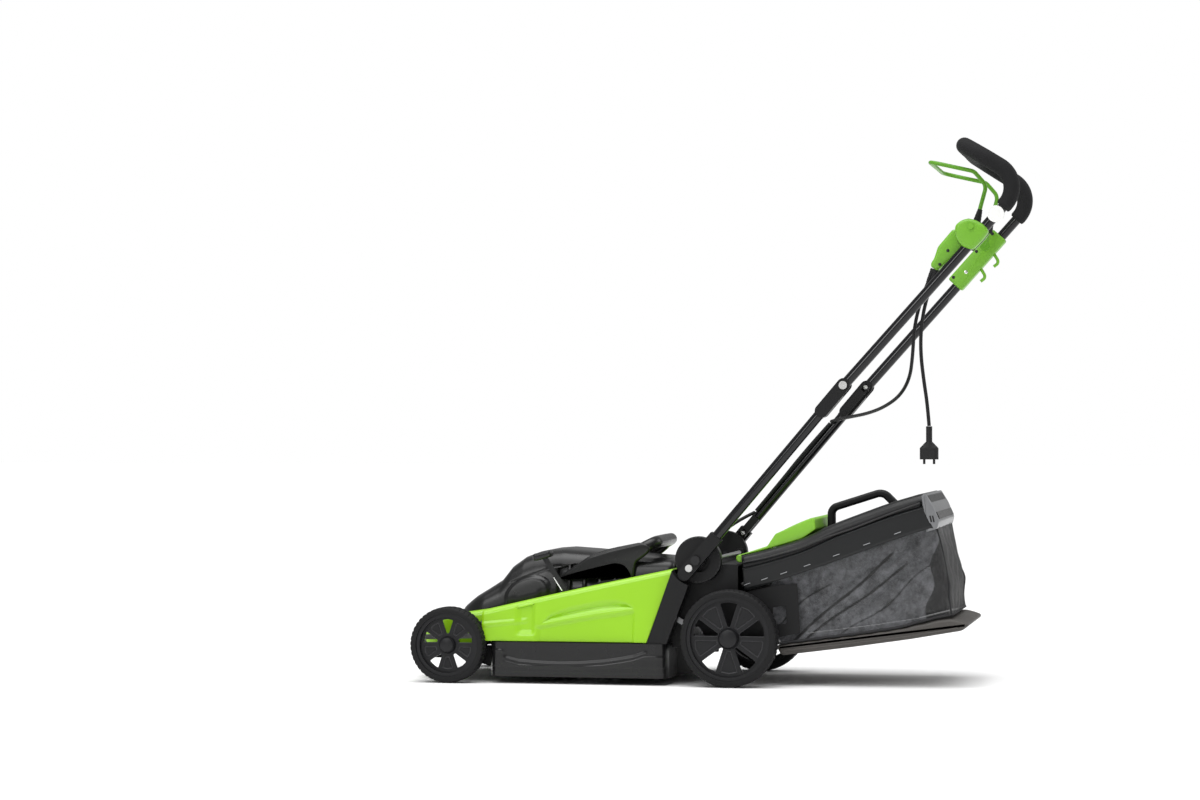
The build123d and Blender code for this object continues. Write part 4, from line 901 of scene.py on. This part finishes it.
for end, x, z, outer, inner, blocks in (("front", *FRONT_AXLE, 74.8, 62.0, 44), ("rear", *REAR_AXLE, 94.8, 82.0, 54)):
    for tag, sign in SIDES:
        piece(f"{end}_tread_{tag}", [tyre_grid((x, sign * 205.5, z), outer, inner, sign, blocks)], tyre_black,
              f"wheel_{end}_{tag}", f"{end}_tyre_{tag}", sharp=42)

# %% [markdown]
# ## Wheel trim
# Between the five open windows of each wheel lie five sunken pockets, and every pocket and window has a raised
# rim. A round cap covers the end of the axle. All of it turns with the wheel.

# %% Wheel trim


def sector_rim(centre, y, r_in, r_out, middle, wire):
    """A raised line round a face between two spokes, with rounded corners, in the side view."""
    half_in, half_out = 18 - degrees(3.6 / r_in), 18 - degrees(3.6 / r_out)
    corners = [(r_in, -half_in), (r_out, -half_out), (r_out * 1.015, 0.0), (r_out, half_out), (r_in, half_in)]
    flat = np.array([(centre[0] + r * cos(radians(middle + a)), centre[1] + r * sin(radians(middle + a)))
                     for r, a in corners])
    loop = round_corners(flat, [2.5, 4.0, 0, 4.0, 2.5], 5)
    return tube(at_y(loop, y), wire, sides=8, close=True, up=(0, 1, 0))


for end, x, z, rim_in, cap_r in (("front", *FRONT_AXLE, 55.0, 14.5), ("rear", *REAR_AXLE, 75.0, 18.0)):
    for tag, sign in SIDES:
        face = sign * 213.4
        rims = [sector_rim((x, z), face, 24.0, rim_in - 7.5, 126 + 72 * k, 1.9) for k in range(5)]
        rims += [sector_rim((x, z), face, 21.5, rim_in - 4.0, 90 + 72 * k, 1.3) for k in range(5)]
        profile = [(sign * 212.5, 0.0), (sign * 212.5, cap_r + 4.0), (sign * 216.5, cap_r + 3.0),
                   (sign * 222.0, cap_r), (sign * 226.2, cap_r - 0.6), (sign * 227.4, cap_r - 2.4), (sign * 227.6, 0.0)]
        # The rims take the paler finish, which is a painted highlight along their edges.
        piece(f"{end}_rims_{tag}", rims, rim_highlight, f"wheel_{end}_{tag}", sharp=50)
        piece(f"{end}_cap_{tag}", [turned(profile, (x, 0, z), 40)], wheel_black, f"wheel_{end}_{tag}",
              sharp=50)

# %% [markdown]
# ## Drum rings
# The toothed drums at the handle's foot wear a ring with round ridges, so only the groove side stays open.

# %% Drum rings
ring_profile = [(155.0, 42.6), (155.0, 45.4), (157.0, 46.0), (160.0, 46.0), (161.0, 44.9), (162.2, 44.9), (163.2, 46.0),
                (166.4, 46.0), (167.4, 44.9), (168.6, 44.9), (169.6, 46.0), (172.2, 45.6), (172.9, 44.6),
                (172.9, 42.6)]
rings = [turned([(sign * y, r) for y, r in ring_profile + ring_profile[:1]], (-68, 0, 245), 96) for sign in (-1.0, 1.0)]
piece("drum_rings", rings, black_gloss, "chassis", sharp=50)

# %% [markdown]
# ## Deck side panels
# Each side of the deck carries a moulded panel. A long bowed recess is pressed into it between the wheels, a
# ledge runs under the recess, and the foot steps back. The panel is a sheet over the plan path and height.

# %% Deck side panels


def band_panel(side_sign, n_height=70):
    """Sheet over the deck's side: plan path round both corners by height, standing off by the relief."""
    turn = np.linspace(0, pi / 2, 14)
    straight = np.linspace(-458.0, -145.0, 150)[1:-1]
    px = np.concatenate([-458 - 22 * np.cos(turn), straight, -145 + 22 * np.sin(turn)])
    py = np.concatenate([185 + 22 * np.sin(turn), 0 * straight + 207, 185 + 22 * np.cos(turn)])
    nx = np.concatenate([-np.cos(turn), 0 * straight, np.sin(turn)])
    ny = np.concatenate([np.sin(turn), 0 * straight + 1, np.cos(turn)])
    z = np.linspace(14.5, 81.5, n_height)[None, :]
    x = px[:, None]
    floor_line = np.interp(x, [-452, -448, -420, -377, -340, -297, -250, -217, -190, -167],
                           [72, 50, 43, 40, 39, 40, 44, 49, 54, 62])
    recess = smooth((z - floor_line) / 7.0) * smooth((x + 452) / 9.0) * smooth((-160 - x) / 9.0)
    ledge = 0.9 * bump(z, floor_line - 7.0, 4.0)
    foot = smooth((36.0 - z) / 3.0) * 1.3 + smooth((24.0 - z) / 3.0) * 0.9
    ends = smooth((x + 480) / 14.0) * smooth((-123 - x) / 14.0)
    out = (3.3 - 2.7 * recess + ledge - foot) * ends + 0.25
    return np.stack([x + nx[:, None] * out, side_sign * (py[:, None] + ny[:, None] * out), z + 0 * x], -1)


skirts = [slab([(-528, 34), (-474, 34), (-474, 71), (-528, 71)], sign * 150.0, sign * 154.0, 1.2, 3.0, 3)
          for sign in (-1.0, 1.0)]
piece("nose_skirts", skirts, black_grain, "chassis")
for tag, sign in SIDES:
    grid = band_panel(sign)
    piece(f"deck_panel_{tag}", [part(row(grid if sign < 0 else grid[::-1]))], black_gloss, "chassis",
          closed=False, sharp=40)

# %% [markdown]
# ## Grass catcher lid
# The lid is a stiff moulding with rounded shoulders. A raised ridge runs along each side, a row of clips holds
# the bag's rim, and the tail is cut off square with a grey louvred vent. Its outline is carried across Y and
# drawn in along a quarter circle at both sides; the open underside stays open.

# %% Catcher lid
CATCH = 14.0
LID_HALF = 164.6
CLIP_SLOPE = 20.0
ridge_line = [(6, 240), (50, 249), (119, 269), (177, 293), (216, 306), (294, 337), (352, 358)]
lid_line = np.array([(1, 250), (40, 259), (119, 283), (177, 312), (235, 334), (294, 356), (362, 376)], float)
lid_edge = np.array([(10, 186), (69, 204), (118, 220), (216, 255), (274, 277), (333, 298), (372, 310)], float)


def catch(points):
    """Side-view points measured from the catcher's mouth, as X from the rear axle."""
    p = np.asarray(points, float)
    return p + np.array([CATCH, 0.0])


def lid_shell(rounding=16.0):
    """Top, tail and both sides of the lid as one grid: along the side outline, then across from edge to edge."""
    line = round_corners(np.concatenate([lid_line, [(373, 350), (383, 322), (380, 312)]]),
                         [0, 30, 30, 30, 30, 30, 14, 8, 6, 0], 7, closed=False)
    line = resample(line, 6.0)
    low_x = np.clip(line[:, 0] + 8.0, 1, 378)
    low = np.stack([low_x, np.interp(low_x, lid_edge[:, 0], lid_edge[:, 1])], 1)
    tangent = np.gradient(line, axis=0)
    tangent /= np.linalg.norm(tangent, axis=1)[:, None]
    inward = np.stack([tangent[:, 1], -tangent[:, 0]], 1)
    rows, ys = [], []
    inset = 6.0
    rise = np.concatenate([np.linspace(0, 0.78, 8), np.linspace(0.80, 0.88, 6), [0.94, 1.0]])
    flank = LID_HALF - inset
    for t in rise:
        rows.append(low + (line + inward * rounding - low) * t)
        ys.append(LID_HALF - inset * smooth((t - 0.80) / 0.07))
    for a in np.linspace(0, pi / 2, 9)[1:]:
        rows.append(line + inward * rounding * (1 - np.sin(a)))
        ys.append(flank - rounding * (1 - np.cos(a)))
    for y in np.linspace(flank - rounding, -flank + rounding, 26)[1:-1]:
        rows.append(line)
        ys.append(y)
    for a in np.linspace(pi / 2, 0, 9)[:-1]:
        rows.append(line + inward * rounding * (1 - np.sin(a)))
        ys.append(-flank + rounding * (1 - np.cos(a)))
    for t in rise[::-1]:
        rows.append(low + (line + inward * rounding - low) * t)
        ys.append(-LID_HALF + inset * smooth((t - 0.80) / 0.07))
    rows = np.stack(rows, 1)
    flat = catch(rows)
    y = np.tile(np.array(ys)[None, :], (flat.shape[0], 1))
    return np.stack([flat[..., 0], y, flat[..., 1]], -1)


piece("catcher_lid_shell", [part(row(lid_shell()))], lid_black, "catcher", "catcher_lid",
      closed=False, wall=0.003, sharp=32)
ridge_parts, clip_parts, clip_highlight_parts = [], [], []
for sign in (-1.0, 1.0):
    ridge = at_y(catch(ridge_line), sign * 164.4)
    ridge_parts.append(tube(resample(ridge, 6.0), 2.6, sides=10, up=(0, 1, 0), flat=0.9))
    hem = at_y(catch(lid_edge), sign * 164.2) + np.array([0.0, 0.0, 2.0])
    ridge_parts.append(tube(resample(hem, 6.0), 3.0, sides=10, up=(0, 1, 0), flat=0.8))
    for x in (28, 62, 100, 146, 203, 262, 322):
        z = np.interp(x - CATCH, lid_edge[:, 0], lid_edge[:, 1]) + 13.0
        box = [along((x, z), CLIP_SLOPE, s, n) for s, n in ((-11, -4.4), (11, -4.4), (11, 4.4), (-11, 4.4))]
        clip_parts.append(slab(box, sign * 162.0, sign * 167.4, 1.2, 2.0, 3, 4))
        # A pale strip under the middle of each clip is a painted highlight on the lower lip of its slot.
        highlight_strip = [along((x, z), CLIP_SLOPE, s, n) for s, n in ((-7, -2.4), (7, -2.4), (7, -1.2), (-7, -1.2))]
        clip_highlight_parts.append(slab(highlight_strip, sign * 166.0, sign * 167.9, 0.4, 0.8, 3, 3))
piece("lid_ridges", ridge_parts, lid_black, "catcher")
piece("bag_clips", clip_parts, black_gloss, "catcher")
piece("clip_highlights", clip_highlight_parts, grey_plastic, "catcher")

# %% [markdown]
# ## Lid tail
# The square tail wears a pale cap with rounded corners, a rim at its foot and a row of dark louvres above it.

# %% Lid tail
tail_outline = [(354, 373), (361, 377.5), (376.0, 353.5), (388.5, 323.5), (385.0, 309), (364, 302)]
piece("tail_cap", [slab(catch(tail_outline), -167.4, 167.4, 3.5, 4.0, 5)], smoke_grey, "catcher")
tail_back = [(CATCH + 384.0, y, 333.8) for y in np.linspace(-146, 146, 34)]
louvres = [tube(np.array([(x - 3.0, y, z + 7.0), (x, y, z), (x + 2.9, y, z - 6.6)]), 2.3, sides=8, up=(0, 1, 0))
           for x, y, z in tail_back]
for sign in (-1.0, 1.0):
    for x in (371, 376):
        louvres.append(tube(np.array([(CATCH + x, sign * 166.9, 334.0), (CATCH + x + 3.0, sign * 166.9, 322.0)]), 1.7,
                            sides=8, up=(1, 0, 0)))
piece("tail_louvres", louvres, black_gloss, "catcher")

# %% [markdown]
# ## Mesh bag
# The bag hangs from the lid's rim and is drawn tight over the tray at its foot, so the cloth is slack in
# between: it sags inwards, and long diagonal folds run from the rear corner of the rim down to the front of
# the tray. The shell is worked out as a curtain: one parameter follows the plan from the front left corner
# round the back to the front right one, the other drops from the rim to the tray. Folds are waves across
# slanted lines, strongest halfway down.

# %% Mesh bag
BAG_HALF, BAG_LENGTH = 157.5, 402
TRAY_RIM = np.array([(14, 86), (70, 80), (150, 91), (230, 102), (310, 115), (392, 139), (402, 140)], float)


def bag_curtain(n_drop=84):
    """The cloth as points and lengths: plan path by drop, with sag, slanted folds and gathered corners."""
    corner = 20.0
    side = np.linspace(14, BAG_LENGTH - corner, 190)
    side_back = side[::-1][1:]
    turn_x = BAG_LENGTH - corner
    turn = np.linspace(0, pi / 2, 22)[1:]
    back = np.linspace(BAG_HALF - corner, -BAG_HALF + corner, 130)[1:]
    px = np.concatenate([side, turn_x + corner * np.sin(turn), back * 0 + BAG_LENGTH, turn_x + corner * np.cos(turn),
                         side_back])
    py = np.concatenate([side * 0 - BAG_HALF, -BAG_HALF + corner * (1 - np.cos(turn)), -back,
                         BAG_HALF - corner * (1 - np.sin(turn)), side_back * 0 + BAG_HALF])
    nx = np.concatenate([side * 0, np.sin(turn), back * 0 + 1, np.cos(turn), side_back * 0])
    ny = np.concatenate([side * 0 - 1, -np.cos(turn), back * 0, np.sin(turn), side_back * 0 + 1])
    run = np.concatenate([[0], np.cumsum(np.hypot(np.diff(px), np.diff(py)))])
    t = np.linspace(0, 1, n_drop)[None, :]
    x0 = px[:, None]
    top = np.interp(x0, lid_edge[:, 0], lid_edge[:, 1]) + 7.0
    foot = np.interp(x0, TRAY_RIM[:, 0], TRAY_RIM[:, 1]) + 0.5
    z = top + (foot - top) * t
    back_share = smooth((x0 - 330) / 60)
    lean = np.interp(z, [135, 142, 200, 260, 309], [4.0, 11.0, 10.0, -3.0, -17.0]) * back_share
    fall = np.sin(pi * np.clip(t, 0, 1)) ** 0.8
    along_s = x0 * 0.80 + (z - 90) * 1.0
    across_s = (z - 90) * 0.78 - x0 * 0.62
    side_share = 1 - smooth((x0 - 375) / 20)
    far = (py > 0)[:, None]
    shift = np.where(far, 1.9, 0.0)
    fold = (2.2 * np.sin(across_s / 15.0 + shift + 0.9 * np.sin(along_s / 70.0))
            + 0.9 * np.sin(across_s / 6.7 + 1.6 * np.sin(along_s / 51.0 + 1.0) + shift))
    crease = (-6.5 * bump(across_s, -56 - 5 * np.sin(along_s / 60), 11) + 5.5 * bump(across_s, -74, 14)
              - 5.0 * bump(across_s, -104 + 4 * np.sin(along_s / 45), 10) + 3.5 * bump(across_s, -22, 16))
    gather = 1.5 * np.sin(run[:, None] / 5.2 + 2 * np.sin(z / 31.0)) * np.exp(-((1 - t) / 0.22) ** 2)
    gather_top = 0.9 * np.sin(run[:, None] / 7.1) * np.exp(-(t / 0.12) ** 2)
    back_fold = (3.4 * np.sin(run[:, None] / 11.0 + 1.4 * np.sin(z / 24.0))
                 + 2.0 * np.sin(z / 13.0 + run[:, None] / 40.0))
    sag = -7.5 * fall * side_share - 3.0 * fall * (1 - side_share)
    out = sag + fall * (side_share * (fold + crease) + (1 - side_share) * back_fold) + gather + gather_top
    out = np.where(t <= 0.001, 0, out)
    x = x0 + nx[:, None] * out + lean
    y = py[:, None] + ny[:, None] * out
    points = np.stack([x + CATCH, y, z], -1)
    uv = np.stack([np.tile(run[:, None] / 1000.0, (1, n_drop)), z / 1000.0], -1)
    return points, uv


bag_points, bag_uv = bag_curtain()
bag_piece = piece("mesh_bag", [part(row(bag_points))], bag_mesh, "catcher", "catcher_bag",
                  closed=False, uv=bag_uv, sharp=180)


def painted_shade_of(mesh):
    """Painted shade at each point, from 0 to 1: narrow hills along the slanted fold lines, the whole back strip and a
    softer band at the front.
    """
    co = np.zeros(len(mesh.vertices) * 3)
    mesh.vertices.foreach_get("co", co)
    x, y, z = (co.reshape(-1, 3) * 1000.0).T
    x = x - REAR - CATCH
    down = (z - 90) * 0.78 - x * 0.62
    run_on = x * 0.80 + (z - 90)
    wander = 2.0 * np.sin(run_on / 38.0 + 0.02 * y)
    spread = (run_on - 60) / 330.0
    main = bump(down, -66 + 12 * spread + wander, 3.2) + 0.9 * bump(down, -76 - 10 * spread + wander, 2.6)
    main *= smooth((run_on - 60) / 40) * smooth((420 - run_on) / 30)
    small = 0.5 * bump(down, -118 + 3 * wander, 2.6) * smooth((run_on - 150) / 40)
    small += 0.5 * bump(down, -22 + 3 * wander, 2.4) * smooth((270 - run_on) / 40)
    wave_x = 366 + 0.10 * (z - 150) + 6.0 * np.sin(z / 14.0)
    strip = smooth((x - wave_x) / 4.0) * 0.95
    front_part = smooth((58 - x + 6 * np.sin(z / 10.0)) / 8.0) * 0.5
    return np.clip(main + small + strip + front_part, 0.0, 1.0)


# The painted shade is stored per point, and the cloth's shader darkens its colour by it.
bag_piece.data.attributes.new("painted_fold_shade", "FLOAT", "POINT").data.foreach_set("value", painted_shade_of(bag_piece.data))
piping = [tube(bag_points[k], 2.2, sides=8, up=(0.6, 0.8, 0.0)) for k in (205, len(bag_points) - 206)]
foot_line = bag_points[::3, -1].copy()
foot_line[:, 2] += 2.0
piece("bag_piping", piping + [tube(foot_line, 2.4, sides=8, up=(0, 0, 1))], tape_black, "catcher")

# %% [markdown]
# ## Tray
# The foot of the catcher is a shallow moulded tray. Its rim turns out at the back as a lip for tipping it.

# %% Tray
tray_outline = [(70, 79), (150, 90), (230, 101), (310, 114), (392, 134), (414, 135), (430, 131), (442, 126.5),
                (443.5, 121.5), (432, 112.5), (330, 94.5), (216, 77.5), (80, 59.5)]
piece("tray_shell", [slab(catch(tray_outline), -161.6, 161.6, 7.0, 6.0)], tray_taupe, "catcher", "catcher_tray")
rib_line = catch([(86, 69), (216, 85), (330, 101), (424, 118)])
tray_ribs = [tube(resample(at_y(rib_line, y), 6.0), 1.8, sides=8, up=(0, 1, 0)) for y in (-162.0, 162.0)]
piece("tray_ribs", tray_ribs, tray_taupe, "catcher")

# %% [markdown]
# ## Rear flap
# The flap is a bright moulded cover with rolled edges, raised in the middle where the hand lifts it. Three
# shallow ribs run along it.

# %% Rear flap
flap_outline = [(10, 254.5), (64, 272), (80, 296), (151, 328), (157.5, 325), (159.5, 305.5), (133, 287), (54, 263),
                (12, 251.5)]
piece("flap_shell", [slab(flap_outline, -139.6, 139.6, 2.4, 3.0, 5),
                     turned([(-139.6, 0), (-139.6, 6.0), (-138, 7.8), (138, 7.8), (139.6, 6.0), (139.6, 0)],
                            (10, 0, 247), 28)],
      flap_green, "flap", "rear_flap")
flap_ribs = []
for y in (-96.0, -48.0, 0.0, 48.0, 96.0):
    path = resample([(84, y, 297.3), (118, y, 312.6), (148, y, 326.2)], 4.0)
    flap_ribs.append(tube(path, 2.6 * np.sqrt(np.clip(np.sin(np.linspace(0.06, pi - 0.06, len(path))), 0.05, 1)),
                          sides=10, up=(0, 1, 0)))
piece("flap_ribs", flap_ribs, flap_green, "flap")

# %% [markdown]
# ## Foam grip
# Foam sleeve over the handle's bent end: a round section along both side arms, the elbows and the cross bar.
# It is soft, so it swells a little between its ends.

# %% Foam grip
FOLD = np.array([267.115 - REAR, 585.913])
UPPER = 48.1
SIDE_ARM, ELBOW_BEND, ARM_Y = 147.9, 48.0, 187.0
elbow = along(FOLD, UPPER, 522.0)
bar_at = along(elbow, SIDE_ARM, 143.0)
foam_from = along(elbow, UPPER, -ELBOW_BEND * tan(radians((SIDE_ARM - UPPER) / 2)) - 8)
arm = np.array([foam_from, elbow, bar_at])
handle_route = np.concatenate([at_y(arm, -ARM_Y), at_y(arm[::-1], ARM_Y)])
foam_path = resample(arc_route(handle_route, [ELBOW_BEND, 62, 62, ELBOW_BEND], 24), 3.0)


def carried(path, radius, sides=28):
    """A ring carried along a path without twisting: each frame is the last one turned with the tangent."""
    p = np.asarray(path, float)
    tangent = np.gradient(p, axis=0)
    tangent /= np.linalg.norm(tangent, axis=1)[:, None]
    lift = np.zeros_like(p)
    lift[0] = (0.0, 1.0, 0.0)
    for k in range(1, len(p)):
        v = lift[k - 1] - tangent[k] * (lift[k - 1] @ tangent[k])
        lift[k] = v / np.linalg.norm(v)
    sidev = np.cross(tangent, lift)
    angle = np.linspace(0, 2 * pi, sides, endpoint=False)
    ring = np.cos(angle)[None, :, None] * lift[:, None] + np.sin(angle)[None, :, None] * sidev[:, None]
    return part(row(p[:, None] + ring * np.asarray(radius)[:, None, None]), False, True, True)


ends = np.minimum(np.arange(len(foam_path)), np.arange(len(foam_path))[::-1]) * 3.0
foam_r = 15.9 - 2.2 * np.exp(-(ends / 2.2) ** 2) - 0.3 * np.cos(ends / 26.0)
foam = piece("foam_sleeve", [carried(foam_path, np.minimum(foam_r, 15.95))], foam_black, "upper_handle", "foam_grip",
             sharp=70)

# %% [markdown]
# ## Switch box
# The box clamps round the near tube: a round drum over the bail's hub, and a long tail that holds the
# switch. A seam runs round it where its two halves meet, screws sit in deep holes, and the lock button
# stands on its face.

# %% Switch box
HUB = np.array([512.266 - REAR, 871.117])


def hub_point(s, n):
    """Point (x, z) up the tube's slope from the bail's hub and n above it."""
    return along(HUB, UPPER, s, n)


head_outline = [(437, 892), (447, 900.5), (460, 905), (475, 902), (491, 893), (502, 880), (487, 861), (470, 844),
                (452, 850), (441, 861), (436, 880)]
tail_outline = [(440, 884), (430, 886), (413, 866), (401, 852), (397, 839), (394, 830), (388, 821), (388, 814),
                (400, 806), (452, 848)]
piece("switch_housing", [slab(head_outline, -203.4, -149.8, 7.0, 7.0, 6), slab(tail_outline, -176.0, -149.8, 5.0, 5.0)],
      switch_green, "upper_handle", "switch_box")
seam = at_y(head_outline + head_outline[:1], -178.0)
middle = seam[:-1].mean(axis=0)
seam = middle + (seam - middle) * 0.995
piece("switch_seam", [tube(resample(seam, 3.0), 1.1, sides=8, up=(0, 1, 0))], boot_black, "upper_handle")
screw_at = [hub_point(-50, 16), hub_point(-80, 10)]
screws = [turned([(-176.5, 0), (-176.5, 2.2), (-176.1, 3.2), (-174.4, 3.6)], (x, 0, z), 20) for x, z in screw_at]
piece("switch_screws", screws, dark_paint, "upper_handle")

# %% [markdown]
# ## Cord holder
# The far arm carries a long block with two hooks, where the extension lead is looped so that it can't pull
# out of the plug. Its corners are rounded and its two halves are screwed together.

# %% Cord holder
holder = [hub_point(36, 14), hub_point(-100, 14), hub_point(-100, -22), hub_point(36, -22)]
hooks = []
for s in (0, -40):
    path = at_y([hub_point(s - back, n) for back, n in ((0, -20), (5, -36), (10, -40), (20, -38))], 180.0)
    hooks.append(tube(resample(arc_route(path, [9, 6]), 1.5), 3.2, sides=16, up=(0, 1, 0)))
piece("cord_holder", [slab(holder, 171.0, 203.6, 4.0, 5.0), *hooks], switch_green, "upper_handle", "cord_block")
screw_profile = [(170.4, 0), (170.4, 2.4), (171.2, 3.6), (203.0, 3.6), (204.2, 2.4), (204.2, 0)]
holder_screws = [turned(screw_profile, at_y([hub_point(s, 8)], 0)[0], 20) for s in (28, -20, -90)]
piece("holder_screws", holder_screws, dark_paint, "upper_handle")
rivet_profile = [(170.2, 0), (170.2, 2.2), (170.5, 3.6), (171.4, 3.8)]
rivets = [turned(rivet_profile, at_y([hub_point(s, -4)], 0)[0], 20) for s in (0, -65)]
piece("holder_rivets", rivets, chrome, "upper_handle")

# %% [markdown]
# ## Bail boots
# Where the bail's wire enters its hub, a short rubber boot keeps rain out.

# %% Bail boots
boots = []
for sign in (-1.0, 1.0):
    foot, head = np.array([HUB[0] + 6.5, sign * 145, HUB[1] + 26]), np.array([HUB[0] + 14, sign * 145, HUB[1] + 54])
    t = np.linspace(0, 1, 15)[:, None]
    boots.append(tube(foot + (head - foot) * t, 8.6 - 3.6 * t[:, 0] - 0.4 * (np.sin(t[:, 0] * 30) > 0), sides=20,
                      up=(0, 1, 0)))
piece("bail_boots", boots, boot_black, "bail_bar")

# %% [markdown]
# ## Studio
# A pale floor under a broad, soft sun, with three soft lights: one overhead, one from the camera's side and one
# from behind. The room shows white but lights the object only in part.

# %% Studio
floor_finish = Finish("pale floor")
cloud = floor_finish.noise(1.5, 1.0)
floor_finish.set(Base_Color=floor_finish.mix(cloud, (0.95, 0.95, 0.95), (0.97, 0.97, 0.97)), Roughness=0.9,
                 Specular_IOR_Level=0.1)
floor_mesh = bpy.data.meshes.new("floor")
floor_mesh.from_pydata([(-30, -30, 0), (30, -30, 0), (30, 30, 0), (-30, 30, 0)], [], [(0, 1, 2, 3)])
floor_mesh.materials.append(floor_finish.material)
floor = add("floor", floor_mesh)

world = bpy.data.worlds.new("studio")
world.use_nodes = True
glow = world.node_tree.nodes["Background"]
glow.inputs["Color"].default_value = (1, 1, 1, 1)
seen = world.node_tree.nodes.new("ShaderNodeLightPath")
level = world.node_tree.nodes.new("ShaderNodeMapRange")
level.inputs["To Min"].default_value = 0.36
level.inputs["To Max"].default_value = 1.0
world.node_tree.links.new(seen.outputs["Is Camera Ray"], level.inputs["Value"])
world.node_tree.links.new(level.outputs["Result"], glow.inputs["Strength"])
bpy.context.scene.world = world
bpy.context.scene.view_settings.view_transform = "Standard"


def softbox(name, place, aim, size, power):
    """A square area light that looks at a point."""
    data = bpy.data.lights.new(name, "AREA")
    data.size, data.energy = size, power
    obj = add(name, data)
    d = np.asarray(aim, float) - np.asarray(place, float)
    obj.location = place
    obj.rotation_euler = (atan2(hypot(d[0], d[1]), -d[2]), 0.0, atan2(d[1], d[0]) - pi / 2)


softbox("overhead", (-0.4, -0.6, 3.2), (0.0, 0.0, 0.3), 2.0, 26)
softbox("camera side", (-1.4, -3.6, 2.0), (0.0, 0.0, 0.3), 1.2, 26)
softbox("rear side", (2.6, 1.6, 1.8), (0.2, 0.0, 0.4), 1.6, 16)
sky_data = bpy.data.lights.new("broad sky", "SUN")
sky_data.energy = 2.45
sky_data.angle = radians(70)
sky = add("broad sky", sky_data)
sky.rotation_euler = (radians(14), 0.0, 0.0)
